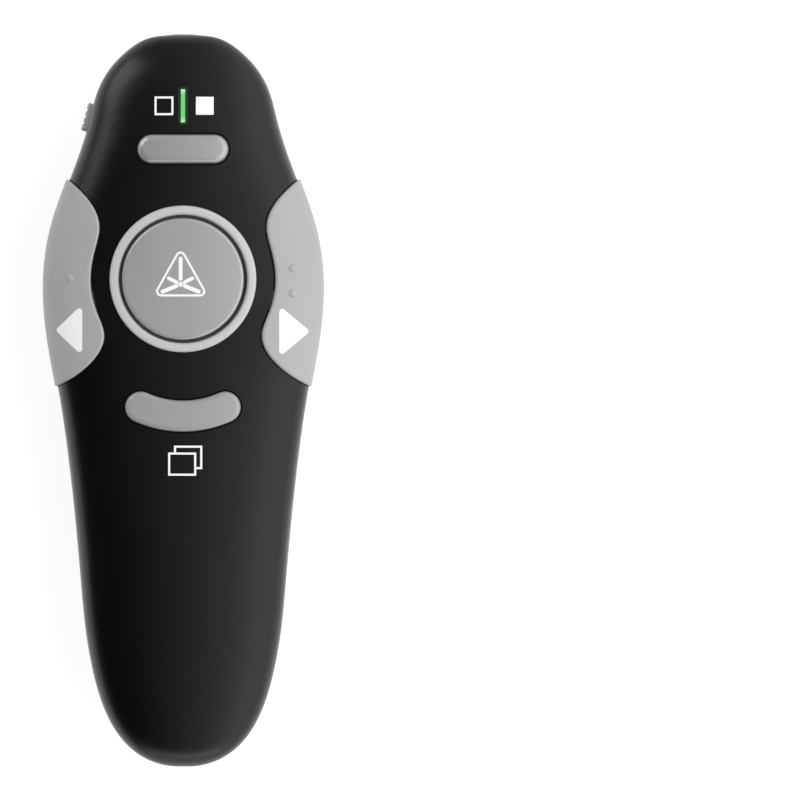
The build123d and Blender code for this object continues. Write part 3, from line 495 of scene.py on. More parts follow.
@dataclass(frozen=True)
class Glass(Finish):
    """Clear moulded glass, slightly smeared.

    Attributes:
        index: its index of refraction.
        smear: how far the roughness drifts with the smears.
        smear_size: width of a smear, in metres.
    """

    index: float = 1.5
    smear: float = 0.03
    smear_size: float = 1.0 * MM

    def dress(self, coat: Coat) -> None:
        """Lets light through the glass and smears it."""
        coat.set("Base Color", self.colour)
        coat.set("Transmission Weight", 1.0)
        coat.set("IOR", self.index)
        coat.gloss(self.roughness, (self.smear, coat.noise(self.smear_size, detail=1.0)))


@dataclass(frozen=True)
class SolderMask(Finish):
    """Green lacquer over copper tracks on a circuit board.

    Attributes:
        tracks: how many cells, with a track round each, there are along a metre.
        track_span: how far from a cell's middle its track starts, and is whole.
        track_tone: brightness of the lacquer over a track, as a share.
        track_height: height of a track, in metres.
        cloud_size: width of its patches, in metres.
        lacquer: weight of its clear coat.
    """

    tracks: float = 420.0
    track_span: Span = (0.42, 0.5)
    track_tone: float = 1.8
    track_height: float = 0.03 * MM
    cloud_size: float = 1.5 * MM
    lacquer: float = 0.4

    def dress(self, coat: Coat) -> None:
        """Lets the tracks show through the lacquer."""
        tracks = coat.ramp(coat.cells(1 / self.tracks, "MANHATTAN"), *self.track_span)
        coat.set("Base Color", coat.shades(self.colour, 1.0, self.track_tone, tracks))
        coat.gloss(self.roughness, (GLOSS_DRIFT, coat.noise(self.cloud_size)))
        coat.set("Coat Weight", self.lacquer)
        coat.bump(tracks, self.track_height)


@dataclass(frozen=True)
class Sleeve(Finish):
    """The shrunk plastic sleeve of the cell: cream, glossy, a little rippled along its length.

    Attributes:
        cloud_size: width of its patches, in metres.
        dullest: brightness of the dullest patch, as a share.
        ripple, ripple_depth: width and depth of a ripple, in metres.
        ripple_along: density of the ripples along X, Y and Z.
        lacquer: weight of its clear coat.
    """

    cloud_size: float = 5 * MM
    dullest: float = 0.94
    ripple: float = 2.5 * MM
    ripple_depth: float = 0.02 * MM
    ripple_along: Place = (1.0, 0.3, 1.0)
    lacquer: float = 0.4

    def dress(self, coat: Coat) -> None:
        """Ripples the sleeve and gives it its gloss."""
        cloud = coat.noise(self.cloud_size)
        coat.set("Base Color", coat.shades(self.colour, self.dullest, 1.0, cloud))
        coat.gloss(self.roughness, (GLOSS_DRIFT, cloud))
        coat.set("Coat Weight", self.lacquer)
        coat.bump(coat.noise(self.ripple, stretch=self.ripple_along), self.ripple_depth)


BODY_BLACK = Moulded("body_black", (0.0024, 0.0024, 0.0025), roughness=0.3, specular=0.4)
INNER_BLACK = Moulded("inner_black", (0.008, 0.008, 0.0085), roughness=0.32, depth=0.003 * MM)
KEY_GREY = Moulded("key_grey", (0.385, 0.385, 0.39), roughness=0.42)
PILL_GREY = SprayedKey(
    "pill_grey", (0.41, 0.41, 0.415), roughness=0.3, specular=0.8, flake=0.4)
CRESCENT_GREY = SprayedKey(
    "crescent_grey", (0.345, 0.345, 0.35), roughness=0.34, specular=0.7, flake=0.1)
BUTTON_GREY = SprayedKey(
    "button_grey", (0.43, 0.43, 0.435), roughness=0.36, flake=0.4, bare=(0.26, 0.26, 0.26))
RING_GREY = Moulded("ring_grey", (0.54, 0.54, 0.55), roughness=0.28, depth=0.002 * MM)
KNOB_GREY = Moulded("knob_grey", (0.56, 0.56, 0.565), roughness=0.42, depth=0.005 * MM)
BEZEL_BLACK = Moulded("bezel_black", (0.006, 0.006, 0.006), roughness=0.2, depth=0.002 * MM)
CHIP_BLACK = Moulded("chip_black", (0.02, 0.02, 0.02), roughness=0.5, grain=0.1 * MM)
SWITCH_WHITE = Moulded("switch_white", (0.6, 0.59, 0.55), roughness=0.4, depth=0.004 * MM)
CAP_BLACK = Moulded("cap_black", (0.008, 0.008, 0.008), roughness=0.2, depth=0.002 * MM)
CARRIER_BLACK = Moulded("carrier_black", (0.012, 0.012, 0.012), roughness=0.35, depth=0.003 * MM)
STEEL = Metal("rolled_steel", (0.78, 0.78, 0.79), roughness=0.24)
CAN_STEEL = Metal("can_steel", (0.62, 0.62, 0.62), roughness=0.35)
SCREW_STEEL = Metal("screw_steel", (0.5, 0.5, 0.5), roughness=0.38, along=(1.0, 1.0, 1.0))
NICKEL = Metal("nickel", (0.72, 0.69, 0.62), roughness=0.3)
GOLD = Metal("gold", (0.85, 0.62, 0.24), roughness=0.2)
BRASS = Metal("brass", (0.72, 0.54, 0.26), roughness=0.3, along=(1.0, 1.0, 0.1))
LENS_GLASS = Glass("lens_glass", (0.95, 0.97, 1.0), roughness=0.035)
BOARD_GREEN = SolderMask("board_green", (0.01, 0.12, 0.05), roughness=0.35)
CREAM_SLEEVE = Sleeve("cell_sleeve", (0.88, 0.86, 0.67), roughness=0.27)
WHITE_INK = Ink("white_ink", (0.94, 0.94, 0.94), roughness=0.5)
# painted shade for the cuts of the stamped tongues on the receiver's shell
PAINTED_CUT_SHADE = Ink("dark_ink", (0.03, 0.03, 0.03), roughness=0.5)
# painted glow of the indicator on the face round it, laid as a film like ink
PAINTED_GLOW_GREEN = Ink("glow_green", (0.002, 0.036, 0.006), roughness=0.35)


class Wear(Enum):
    """Which nodes take which finish, by the part of the clicker that they belong to."""

    HOUSING = (("front_shell", "rear_housing", "battery_cover"), BODY_BLACK)
    LATCH = (("cover_latch",), INNER_BLACK)
    SIDE_KEYS = (("forward_key", "back_key"), KEY_GREY)
    PILL = (("screen_key",), PILL_GREY)
    CRESCENT = (("window_key",), CRESCENT_GREY)
    BUTTON = (("laser_button",), BUTTON_GREY)
    RING = (("button_ring",), RING_GREY)
    KNOB = (("power_knob",), KNOB_GREY)
    BEZEL = (("laser_bezel",), BEZEL_BLACK)
    PLUNGERS = (
        ("laser_plunger", "screen_plunger", "window_plunger", "back_plunger", "forward_plunger"),
        CHIP_BLACK,
    )
    CHIPS = (("radio_chips",), CHIP_BLACK)
    CANS = (("crystal_can", "tact_switches", "slide_switch"), CAN_STEEL)
    PALE = (("switch_lever", "led_chip"), SWITCH_WHITE)
    SCREWS = (("board_screws", "housing_screw"), SCREW_STEEL)
    BOARDS = (("circuit_board", "receiver_board"), BOARD_GREEN)
    BARREL = (("laser_barrel",), BRASS)
    LENS = (("laser_lens",), LENS_GLASS)
    CONTACTS = (("negative_contact", "positive_contact", "battery_terminals"), NICKEL)
    CELL = (("battery_jacket",), CREAM_SLEEVE)
    PLUG = (("receiver_shell",), STEEL)
    CAP = (("receiver_cap",), CAP_BLACK)
    CARRIER = (("receiver_tongue",), CARRIER_BLACK)
    STRIPS = (("receiver_contacts",), GOLD)


@functools.cache
def material_of(finish: Finish) -> bpy.types.Material:
    """The material of a finish, built when it is first asked for."""
    return finish.build()


def clothe(piece: bpy.types.Object, finish: Finish) -> None:
    """Gives every face of an object one finish."""
    piece.data.materials.clear()
    piece.data.materials.append(material_of(finish))
    log.info("%s has %s", piece.name, finish.name)


# Modelling helpers

def deselect() -> None:
    """Leaves nothing selected."""
    bpy.ops.object.select_all(action="DESELECT")


def hold(piece: bpy.types.Object) -> None:
    """Selects one object alone and makes it the active one.

    Args:
        piece: the object.
    """
    deselect()
    piece.select_set(True)
    bpy.context.view_layer.objects.active = piece


def settle(piece: bpy.types.Object) -> None:
    """Moves the object's place into its mesh."""
    hold(piece)
    bpy.ops.object.transform_apply(location=True, rotation=True, scale=True)


@contextlib.contextmanager
def editing(piece: bpy.types.Object) -> Iterator[None]:
    """Keeps an object in edit mode, with all of its mesh selected at first.

    Args:
        piece: the object.
    """
    hold(piece)
    bpy.ops.object.mode_set(mode="EDIT")
    bpy.ops.mesh.select_all(action="SELECT")
    yield
    bpy.ops.object.mode_set(mode="OBJECT")


def apply_modifier(piece: bpy.types.Object, kind: str, **settings: Any) -> None:
    """Adds one modifier and applies it.

    Args:
        piece: the object.
        kind: the modifier's type.
        settings: its properties.
    """
    hold(piece)
    modifier = piece.modifiers.new(kind.title(), kind)
    for key, value in settings.items():
        setattr(modifier, key, value)
    bpy.ops.object.modifier_apply(modifier=modifier.name)


def joined(name: str, pieces: Iterable[bpy.types.Object]) -> bpy.types.Object:
    """Joins objects into one and names it.

    Args:
        name: its name.
        pieces: the objects, of which the first takes in the others.

    Returns:
        The joined object.
    """
    first, *others = pieces
    hold(first)
    for other in others:
        other.select_set(True)
    if others:
        bpy.ops.object.join()
    first.name = name
    return first


def rectangle(low: Point, high: Point) -> bpy.types.Object:
    """A filled rectangle, flat in its own XY plane.

    Args:
        low: its lowest corner.
        high: its highest corner.

    Returns:
        The flat object.
    """
    deselect()
    centre = ((low[0] + high[0]) / 2, (low[1] + high[1]) / 2, 0.0)
    bpy.ops.mesh.primitive_plane_add(size=1.0, location=centre)
    plane = bpy.context.object
    plane.scale = (high[0] - low[0], high[1] - low[1], 1.0)
    settle(plane)
    return plane


def disc(centre: Point, radius: float) -> bpy.types.Object:
    """A filled circle, flat in its own XY plane.

    Args:
        centre: its middle.
        radius: its radius.

    Returns:
        The flat object.
    """
    deselect()
    bpy.ops.mesh.primitive_circle_add(
        vertices=DISC_SIDES, radius=radius, fill_type="NGON", location=(*centre, 0))
    spot = bpy.context.object
    settle(spot)
    return spot


def arc_at(before: Point, corner: Point, after: Point, radius: float) -> list[Vector]:
    """Rounds one corner of a polygon.

    Args:
        before: the corner before it.
        corner: the corner.
        after: the corner after it.
        radius: radius of the arc.

    Returns:
        The points of the arc.
    """
    here = Vector(corner)
    back, ahead = (Vector(before) - here).normalized(), (Vector(after) - here).normalized()
    half = back.angle(ahead) / 2
    centre = here + (back + ahead).normalized() * (radius / math.sin(half))
    first = here + back * (radius / math.tan(half)) - centre
    last = here + ahead * (radius / math.tan(half)) - centre
    shares = (step / ARC_STEPS for step in range(ARC_STEPS + 1))
    return [centre + first.slerp(last, share) * radius for share in shares]


def rounded(corners: Sequence[Point], radius: float) -> bpy.types.Object:
    """A filled convex polygon with rounded corners.

    Args:
        corners: its corners in order.
        radius: radius of every corner, in metres.

    Returns:
        The flat object.
    """
    count = len(corners)
    outline = [
        point for index in range(count)
        for point in arc_at(corners[index - 1], corners[index], corners[(index + 1) % count], radius)
    ]
    deselect()
    bpy.ops.mesh.primitive_circle_add(vertices=len(outline), radius=1.0, fill_type="NGON")
    shape = bpy.context.object
    for vertex, point in zip(shape.data.vertices, outline):
        vertex.co = (*point, 0.0)
    with editing(shape):
        bpy.ops.mesh.normals_make_consistent(inside=False)
    return shape


def hollowed(shape: bpy.types.Object, line: float) -> bpy.types.Object:
    """Leaves only a line inside the outline of a flat shape.

    Args:
        shape: the flat object.
        line: width of the line.

    Returns:
        The same object.
    """
    with editing(shape):
        bpy.ops.mesh.inset(thickness=line, depth=0.0)
        bpy.ops.mesh.delete(type="FACE")
    return shape


def stroke(centre: Point, turn: float, start: float, end: float, width: float) -> bpy.types.Object:
    """A line with round ends that leaves a centre.

    Args:
        centre: the point that the line points away from.
        turn: its direction, in degrees from +X.
        start: distance from the centre to its near end.
        end: distance from the centre to its far end.
        width: width of the line.

    Returns:
        The flat object.
    """
    half = width / 2
    bar = rounded([(start, -half), (end, -half), (end, half), (start, half)], half * END_ROUND)
    turned = Matrix.Rotation(math.radians(turn), 4, "Z")
    bar.data.transform(Matrix.Translation((*centre, 0)) @ turned)
    return bar


def word(text: str, height: float, bold: float) -> bpy.types.Object:
    """A word as a flat mesh, centred on its own origin.

    Args:
        text: the word.
        height: size of its type, in metres.
        bold: how far its strokes are widened.

    Returns:
        The flat object.
    """
    deselect()
    bpy.ops.object.text_add()
    made = bpy.context.object
    made.data.body = text
    made.data.align_x = "CENTER"
    made.data.align_y = "CENTER"
    made.data.size = height
    made.data.offset = bold
    made.data.resolution_u = LETTER_STEPS
    hold(made)
    bpy.ops.object.convert(target="MESH")
    return bpy.context.object


def frame_on(target: bpy.types.Object, start: Vector, direction: Vector, right: Vector) -> Matrix:
    """A frame on the surface of a node.

    Args:
        target: the node.
        start: a point clear of the node.
        direction: the way to the node.
        right: the frame's X, before it is laid into the surface.

    Returns:
        The frame: its origin lies on the surface and its Z points out of it.

    Raises:
        ValueError: if the node isn't met that way.
    """
    hit, place, normal, _ = target.ray_cast(start, direction)
    if not hit:
        raise ValueError(f"{target.name} isn't met from {tuple(start)}")
    across = (right - normal * right.dot(normal)).normalized()
    frame = Matrix((across, normal.cross(across), normal)).transposed().to_4x4()
    frame.translation = place
    return frame


@dataclass
class Press:
    """Prints flat marks on one node: presses them on, then gives them a film of ink.

    Attributes:
        target: the node that is printed on.
        body: the body that it rides on.
        frame: where the mark is held; it is pressed on along the frame's -Z.
        ink: what the mark is printed in.
        slot: the record's material slot that it goes with; not used.
        film: thickness of the ink, in metres.
        proud: share of the film that stands outside the surface, from -1 to 1 as Solidify has it.
        mesh_size: longest edge of a mark when it is pressed on.
    """

    target: bpy.types.Object
    body: str
    frame: Matrix = field(default_factory=lambda: Matrix.Translation(UP * ABOVE_FACE))
    ink: Finish = WHITE_INK
    slot: str = "switch_white"
    film: float = 0.05 * MM
    proud: float = 0.3
    mesh_size: float = 1.0 * MM

    def lay(self, name: str, shapes: Iterable[bpy.types.Object]) -> None:
        """Prints flat shapes as one piece.

        Args:
            name: the piece's name.
            shapes: flat objects in the XY plane of the frame.

        Raises:
            ValueError: if part of the mark misses the node.
        """
        piece = joined(name, shapes)
        self._refine(piece)
        piece.matrix_world = self.frame
        bpy.context.view_layer.update()
        apply_modifier(
            piece, "SHRINKWRAP", target=self.target, wrap_method="PROJECT", use_project_z=True,
            use_negative_direction=True, use_positive_direction=False)
        missed = sum(1 for vertex in piece.data.vertices if abs(vertex.co.z) < MISSED)
        if missed:
            raise ValueError(f"{name}: {missed} points miss {self.target.name}")
        apply_modifier(piece, "SOLIDIFY", thickness=self.film, offset=self.proud)
        settle(piece)
        clothe(piece, self.ink)
        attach(piece, self.body)

    def _refine(self, piece: bpy.types.Object) -> None:
        """Cuts a mark into triangles that are short enough to follow a curve.

        Args:
            piece: the flat mark.
        """
        with editing(piece):
            bpy.ops.mesh.quads_convert_to_tris(quad_method="BEAUTY", ngon_method="BEAUTY")
        points = piece.data.vertices
        edges = (edge.vertices for edge in piece.data.edges)
        longest = max((points[a].co - points[b].co).length for a, b in edges)
        cuts = math.ceil(longest / self.mesh_size) - 1
        if cuts > 0:
            with editing(piece):
                bpy.ops.mesh.subdivide(number_cuts=cuts)


# Sub-assemblies

@dataclass
class FaceMarks:
    """The marks on the face, above and below the keys, and the painted glow round the light.

    Attributes:
        nodes: the CAD nodes by name.
        line: width of a drawn line.
        hollow_square, filled_square: the pictures beside the light, as low and high corners.
        front_window, back_window: the two overlapping windows below the crescent key.
        light, light_roughness: tint of the light half-way along, and its roughness.
        glow: width of the light's painted glow on the face.
        glow_gap: distance from the light's bar to its glow.
        glow_corner: radius of the glow's corners.
    """

    nodes: Nodes
    line: float = 0.34 * MM
    hollow_square: tuple[Point, Point] = ((-4.73 * MM, 47.43 * MM), (-1.59 * MM, 50.55 * MM))
    filled_square: tuple[Point, Point] = ((2.15 * MM, 47.5 * MM), (5.1 * MM, 50.5 * MM))
    front_window: tuple[Point, Point] = ((-2.45 * MM, -12.5 * MM), (2.21 * MM, -8.65 * MM))
    back_window: tuple[Point, Point] = ((-1.48 * MM, -11.41 * MM), (3.22 * MM, -7.51 * MM))
    light: Colour = (0.10, 0.44, 0.10)
    light_roughness: float = 0.3
    glow: float = 0.35 * MM
    glow_gap: float = 0.03 * MM
    glow_corner: float = 0.42 * MM

    def build(self) -> None:
        """Prints the marks on the face."""
        press = Press(self.nodes["front_shell"], "root")
        screen = [hollowed(rectangle(*self.hollow_square), self.line), rectangle(*self.filled_square)]
        press.lay("screen_icon", screen)
        press.lay("window_icon", self._windows())
        self._light()

    def _windows(self) -> list[bpy.types.Object]:
        """Draws the window pair.

        Returns:
            The front window whole, and the sides of the back one that show behind it.
        """
        (left, bottom), (right, top) = self.back_window
        _, (front_right, front_top) = self.front_window
        line = self.line
        return [
            hollowed(rectangle(*self.front_window), line),
            rectangle((left, top - line), (right, top)),
            rectangle((left, front_top), (left + line, top - line)),
            rectangle((right - line, bottom), (right, top - line)),
            rectangle((front_right, bottom), (right - line, bottom + line)),
        ]

    def _light(self) -> None:
        """Tints the indicator, and paints the glow of its light on the face round it."""
        low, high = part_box("indicator_lens")
        middle, reach = (low.y + high.y) / 2, (high.y - low.y) / 2
        pipe = LightPipe("light_green", self.light, self.light_roughness, middle, reach, high.x)
        clothe(self.nodes["indicator_lens"], pipe)
        past = self.glow + self.glow_gap
        side, end = high.x + past, reach + past
        tail, head = middle - end, middle + end
        corners = [(-side, tail), (side, tail), (side, head), (-side, head)]
        # painted glow: a green film on the face round the light stands in for its light
        halo = hollowed(rounded(corners, self.glow_corner), self.glow)
        shell = self.nodes["front_shell"]
        press = Press(shell, "root", ink=PAINTED_GLOW_GREEN, slot="light_green", film=THIN_FILM)
        press.lay("light_halo", [halo])


@dataclass
class ButtonMark:
    """The pictogram on the laser button: a rounded triangle round a burst of five rays.

    Attributes:
        nodes: the CAD nodes by name.
        across: station of its middle along X.
        apex, base, half_width: the triangle's outer corners before they are rounded.
        radius: radius of the triangle's corners.
        line: width of the triangle's line.
        burst: station of the burst's centre along Y.
        dot: radius of the spot at its centre.
        upright: start, end and width of the ray that points to the apex.
        pairs: each pair of rays as direction in degrees, start, end and width on the right.
    """

    nodes: Nodes
    across: float = -0.37 * MM
    apex: float = 25.65 * MM
    base: float = 17.28 * MM
    half_width: float = 4.7 * MM
    radius: float = 0.85 * MM
    line: float = 0.35 * MM
    burst: float = 19.3 * MM
    dot: float = 0.41 * MM
    upright: tuple[float, float, float] = (0.6 * MM, 4.6 * MM, 0.64 * MM)
    pairs: tuple[tuple[float, float, float, float], ...] = (
        (27.0, 0.46 * MM, 2.5 * MM, 0.6 * MM),
        (-22.0, 0.46 * MM, 3.55 * MM, 0.66 * MM),
    )

    def build(self) -> None:
        """Prints the pictogram on the button."""
        corners = [
            (self.across, self.apex),
            (self.across - self.half_width, self.base),
            (self.across + self.half_width, self.base),
        ]
        centre = (self.across, self.burst)
        shapes = [
            hollowed(rounded(corners, self.radius), self.line),
            disc(centre, self.dot),
            stroke(centre, 90.0, *self.upright),
        ]
        for turn, *size in self.pairs:
            shapes += [stroke(centre, turn, *size), stroke(centre, 180.0 - turn, *size)]
        Press(self.nodes["laser_button"], "laser_key").lay("laser_icon", shapes)


@dataclass
class SideKeyMarks:
    """The arrow and the raised dots on each side key.

    Attributes:
        nodes: the CAD nodes by name.
        arrows: the key, long edge, tip and middle of each arrow.
        arrow_half: half the height of an arrow.
        corner: radius of its corners.
        tip_cut: what the rounding takes off the tip, and is added to it before.
        dots: the stations of the dots on each key.
        dot_radius: radius of a raised dot.
        dot_rise: height of a dot's dome, as a share of its radius.
        dot_sink: how deep a dot sits in the key, so that no gap shows under its rim.
        dot_sides, dot_rings: facets round a dot, and rings of them on a whole ball.
        smooth_below: angle between facets up to which they are shaded as one.
    """

    nodes: Nodes
    arrows: tuple[tuple[str, float, float, float], ...] = (
        ("back_key", -16.75 * MM, -21.0 * MM, 11.7 * MM),
        ("forward_key", 16.0 * MM, 20.85 * MM, 11.5 * MM),
    )
    arrow_half: float = 3.8 * MM
    corner: float = 0.5 * MM
    tip_cut: float = 0.25 * MM
    dots: tuple[tuple[str, tuple[Point, ...]], ...] = (
        ("back_key", ((-18.85 * MM, 20.35 * MM),)),
        ("forward_key", ((18.25 * MM, 21.95 * MM), (18.25 * MM, 17.8 * MM))),
    )
    dot_radius: float = 0.7 * MM
    dot_rise: float = 0.5
    dot_sink: float = 0.06 * MM
    dot_sides: int = 32
    dot_rings: int = 16
    smooth_below: float = math.radians(50)

    def build(self) -> None:
        """Prints the arrows and raises the dots."""
        for arrow in self.arrows:
            self._arrow(*arrow)
        for key, places in self.dots:
            for count, place in enumerate(places):
                self._dot(f"{key}_dot_{count}", key, place)

    def _arrow(self, key: str, back: float, tip: float, middle: float) -> None:
        """Prints one solid arrow.

        Args:
            key: the key, which names its node and its body.
            back: station of the arrow's long edge along X.
            tip: station of its tip along X.
            middle: station of its middle along Y.
        """
        half = self.arrow_half + self.corner
        sharp_tip = tip + math.copysign(self.tip_cut, tip)
        corners = [(sharp_tip, middle), (back, middle + half), (back, middle - half)]
        Press(self.nodes[key], key).lay(f"{key}_arrow", [rounded(corners, self.corner)])

    def _dot(self, name: str, key: str, place: Point) -> None:
        """Raises one low dome, square to the key's surface.

        Args:
            name: the piece's name.
            key: the key, which names its node and its body.
            place: the dot's stations along X and Y.
        """
        frame = frame_on(self.nodes[key], Vector((*place, ABOVE_FACE)), -UP, RIGHT)
        deselect()
        bpy.ops.mesh.primitive_uv_sphere_add(
            segments=self.dot_sides, ring_count=self.dot_rings, radius=self.dot_radius)
        dot = bpy.context.object
        dot.name = name
        with editing(dot):
            bpy.ops.mesh.bisect(plane_co=(0, 0, 0), plane_no=UP, clear_inner=True, use_fill=True)
            bpy.ops.mesh.select_all(action="SELECT")
            bpy.ops.transform.resize(value=(1.0, 1.0, self.dot_rise), center_override=(0, 0, 0))
            bpy.ops.transform.translate(value=(0, 0, -self.dot_sink))
        bpy.ops.object.shade_smooth_by_angle(angle=self.smooth_below)
        dot.matrix_world = frame
        settle(dot)
        clothe(dot, KEY_GREY)
        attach(dot, key)


@dataclass
class SwitchWords:
    """OFF and ON on the flank behind the power knob, read from the back towards the face.

    Attributes:
        nodes: the CAD nodes by name.
        size: size of the type.
        bold: how far its strokes are widened.
        lift: how far each word lies behind the knob's edge, along Z.
        tailward, headward: how far OFF lies past the knob's tail edge, and ON inside its head edge.
        mesh_size: longest edge of a word when it is pressed on.
    """

    nodes: Nodes
    size: float = 2.1 * MM
    bold: float = 0.03 * MM
    lift: float = 2.3 * MM
    tailward: float = 1.2 * MM
    headward: float = 0.5 * MM
    mesh_size: float = 0.5 * MM

    def build(self) -> None:
        """Prints both words."""
        housing = self.nodes["rear_housing"]
        low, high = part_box("power_knob")
        for text, station in (("OFF", low.y - self.tailward), ("ON", high.y - self.headward)):
            start = Vector((-BESIDE, station, low.z - self.lift))
            held = frame_on(housing, start, RIGHT, UP) @ HELD_OFF
            press = Press(housing, "root", held, mesh_size=self.mesh_size)
            press.lay(f"switch_word_{text.lower()}", [word(text, self.size, self.bold)])


@dataclass
class PlugMarks:
    """The two stamped tongues in the receiver's steel shell, beside its cap, with the shade in their
    cuts painted as dark lines.

    Attributes:
        nodes: the CAD nodes by name.
        pitch: distance between their middles.
        width, length: size of one tongue.
        line: width of the dark line of painted shade in the stamped cut.
        bevel: length of the slant at a corner of the tip, past which the sides are straight.
        gap: distance from the cap to the tongue.
    """

    nodes: Nodes
    pitch: float = 4.7 * MM
    width: float = 1.0 * MM
    length: float = 1.4 * MM
    line: float = 0.16 * MM
    bevel: float = 0.3 * MM
    gap: float = 0.2 * MM

    def build(self) -> None:
        """Paints the shade in the cuts of both tongues on each broad side of the shell."""
        shell = self.nodes["receiver_shell"]
        low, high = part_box("receiver_shell")
        tip_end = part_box("receiver_cap")[0].y - self.gap - self.length
        for side, name in ((-1, "plug_stamps_outer"), (1, "plug_stamps_inner")):
            start = Vector((side * BESIDE, tip_end, (low.z + high.z) / 2))
            held = frame_on(shell, start, RIGHT * -side, UP * -side) @ HELD_OFF
            # dark lines of painted shade where the tongues are cut
            press = Press(shell, "root", held, PAINTED_CUT_SHADE, "usb_steel", THIN_FILM)
            press.lay(name, self._tongues())

    def _tongues(self) -> list[bpy.types.Object]:
        """Draws both tongues, with their tips at the frame's origin and open towards its +Y.

        Returns:
            The lines of both tongues.
        """
        half, line = self.width / 2, self.line
        shapes = []
        for side in (-1, 1):
            middle = side * self.pitch / 2
            for flank in (-1, 1):
                x = middle + flank * (half - line / 2)
                shapes.append(rectangle((x - line / 2, self.bevel), (x + line / 2, self.length)))
            shapes.append(rectangle((middle - half + line, 0.0), (middle + half - line, line)))
            for flank in (-1, 1):
                corner = (middle + flank * (half - line), line / 2)
                shapes.append(stroke(corner, 90 - flank * 45, 0.0, self.bevel, line))
        return shapes


# Studio

@dataclass(frozen=True)
class SoftBox:
    """One soft rectangular lamp that faces the clicker.

    Attributes:
        name: the lamp's name.
        place: its middle, in metres.
        width, height: its size.
        power: its power in watts.
        mirrored: whether it shows in reflections.
        aim: the point that it faces, inside the clicker.
    """

    name: str
    place: Place
    width: float
    height: float
    power: float
    mirrored: bool = True
    aim: Place = (0.0, 0.0, 10 * MM)

    def build(self) -> None:
        """Hangs the lamp."""
        data = bpy.data.lights.new(self.name, "AREA")
        data.shape = "RECTANGLE"
        data.size = self.width
        data.size_y = self.height
        data.energy = self.power
        lamp = bpy.data.objects.new(self.name, data)
        bpy.context.collection.objects.link(lamp)
        lamp.location = self.place
        towards = Vector(self.aim) - Vector(self.place)
        lamp.rotation_euler = towards.to_track_quat("-Z", "Y").to_euler()
        lamp.visible_camera = False
        lamp.visible_glossy = self.mirrored


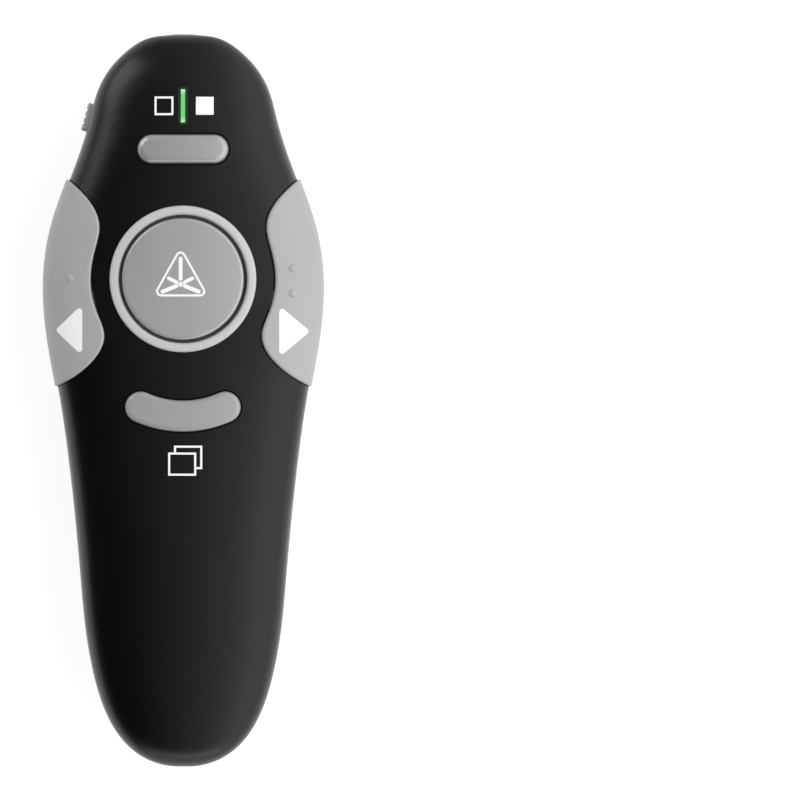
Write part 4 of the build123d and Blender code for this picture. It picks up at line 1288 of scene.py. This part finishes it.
@dataclass
class Studio:
    """Floor, sky, lamps and camera.

    Attributes:
        frame_width: how wide the view is at the parting plane, in metres.
        view_centre: where the camera looks, on the parting plane.
        distance: from the camera to the parting plane.
        sensor: width of the camera's sensor, in millimetres.
        sight: the nearest and the farthest that the camera sees, in metres.
        sky_light: strength of the sky on matt surfaces.
        right_glow: brightness of the right side of the sky in a reflection.
        left_glow: brightness of the left side in a reflection, low down.
        side_span: how far left the sky is darkest, and right brightest, as X of a direction.
        low_span: where its low part starts, and is whole, as Z of a direction.
        falloff: how steeply it brightens from left to right overhead.
        floor_size: length of the floor's sides.
        floor_drop: how far the floor lies under the rest land.
        floor_tone: the floor's own colour.
        floor_glow: light added to the floor as it is seen, so that it shows white.
        floor_roughness: the floor's roughness.
    """

    frame_width: float = 133.3 * MM
    view_centre: Place = (36.08 * MM, 0.08 * MM, 19 * MM)
    distance: float = 3.0
    sensor: float = 36.0
    sight: Span = (0.05, 10.0)
    sky_light: float = 0.26
    right_glow: float = 1.5
    left_glow: float = 0.25
    side_span: Span = (-0.5, 0.6)
    low_span: Span = (0.35, 0.0)
    falloff: float = 1.9
    floor_size: float = 6.0
    floor_drop: float = 0.05 * MM
    floor_tone: float = 0.5
    floor_glow: float = 0.78
    floor_roughness: float = 0.9
    lamps: tuple[SoftBox, ...] = (
        SoftBox("right_box", (0.75, 0.0, 0.70), 1.0, 1.4, 13.7, mirrored=False),
        SoftBox("left_fill", (-0.90, 0.10, 0.18), 0.8, 0.3, 1.1, mirrored=False),
        SoftBox("head_box", (-0.66, 0.62, 0.46), 0.66, 0.60, 3.6),
        SoftBox("tail_box", (0.0, -0.85, 0.22), 0.9, 0.25, 1.1),
    )

    def build(self) -> None:
        """Sets up the studio."""
        self._floor()
        self._sky()
        for lamp in self.lamps:
            lamp.build()
        self._camera()
        bpy.context.scene.view_settings.view_transform = "Standard"

    def _floor(self) -> None:
        """Lays a pale floor under the rest land, white as it is seen and shaded by the clicker."""
        deselect()
        place = UP * -self.floor_drop
        bpy.ops.mesh.primitive_plane_add(size=self.floor_size, location=place)
        floor = bpy.context.object
        floor.name = "floor"
        coat = Coat("pale_floor")
        coat.set("Base Color", (self.floor_tone,) * 3)
        coat.set("Roughness", self.floor_roughness)
        coat.set("Specular IOR Level", 0.0)
        seen = coat.seen("Camera", "Glossy", "Transmission")
        coat.set("Emission Color", coat.blend(seen, BLACK, (self.floor_glow,) * 3))
        coat.set("Emission Strength", 1.0)
        floor.data.materials.append(coat.material)

    def _sky(self) -> None:
        """Makes a sky that is white where it is seen.

        Matt surfaces get an even light from it. In a reflection it is bright low down, and
        overhead it rises from dark on the left to bright on the right, as a long soft box gives.
        """
        world = bpy.data.worlds.new("studio")
        bpy.context.scene.world = world
        world.use_nodes = True
        world.cycles.sampling_method = "NONE"
        graph = Graph(world.node_tree)
        direction = graph.node("ShaderNodeTexCoord", output="Generated")
        side = graph.ramp(graph.axis(direction, "X"), *self.side_span)
        low = graph.ramp(graph.axis(direction, "Z"), *self.low_span)
        overhead = side ** self.falloff * self.right_glow
        horizon = self.left_glow + (1 - self.left_glow) * side
        mirrored = overhead * (1 - low) + low * horizon
        glossy = graph.seen("Glossy", "Transmission")
        lit = glossy * mirrored + (1 - glossy) * self.sky_light
        camera = graph.seen("Camera")
        background = world.node_tree.nodes["Background"]
        background.inputs["Color"].default_value = (1, 1, 1, 1)
        graph.feed(background.inputs["Strength"], camera + (1 - camera) * lit)

    def _camera(self) -> None:
        """Sets a long lens straight above the face."""
        data = bpy.data.cameras.new("camera")
        data.sensor_width = self.sensor
        data.lens = self.sensor * self.distance / self.frame_width
        data.clip_start, data.clip_end = self.sight
        camera = bpy.data.objects.new("camera", data)
        bpy.context.collection.objects.link(camera)
        camera.location = Vector(self.view_centre) + UP * self.distance
        bpy.context.scene.camera = camera


def dress_nodes(nodes: Nodes) -> None:
    """Gives the CAD nodes their finishes.

    Args:
        nodes: the CAD nodes by name.
    """
    for choice in Wear:
        names, finish = choice.value
        for name in names:
            clothe(nodes[name], finish)


def main() -> None:
    """Builds the whole scene in order."""
    logging.basicConfig(level=logging.INFO)
    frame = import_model()
    nodes = frame["nodes"]
    dress_nodes(nodes)
    for part in (FaceMarks, ButtonMark, SideKeyMarks, SwitchWords, PlugMarks):
        part(nodes).build()
        log.info("%s made", part.__name__)
    Studio().build()


if __name__ == "__main__":
    main()
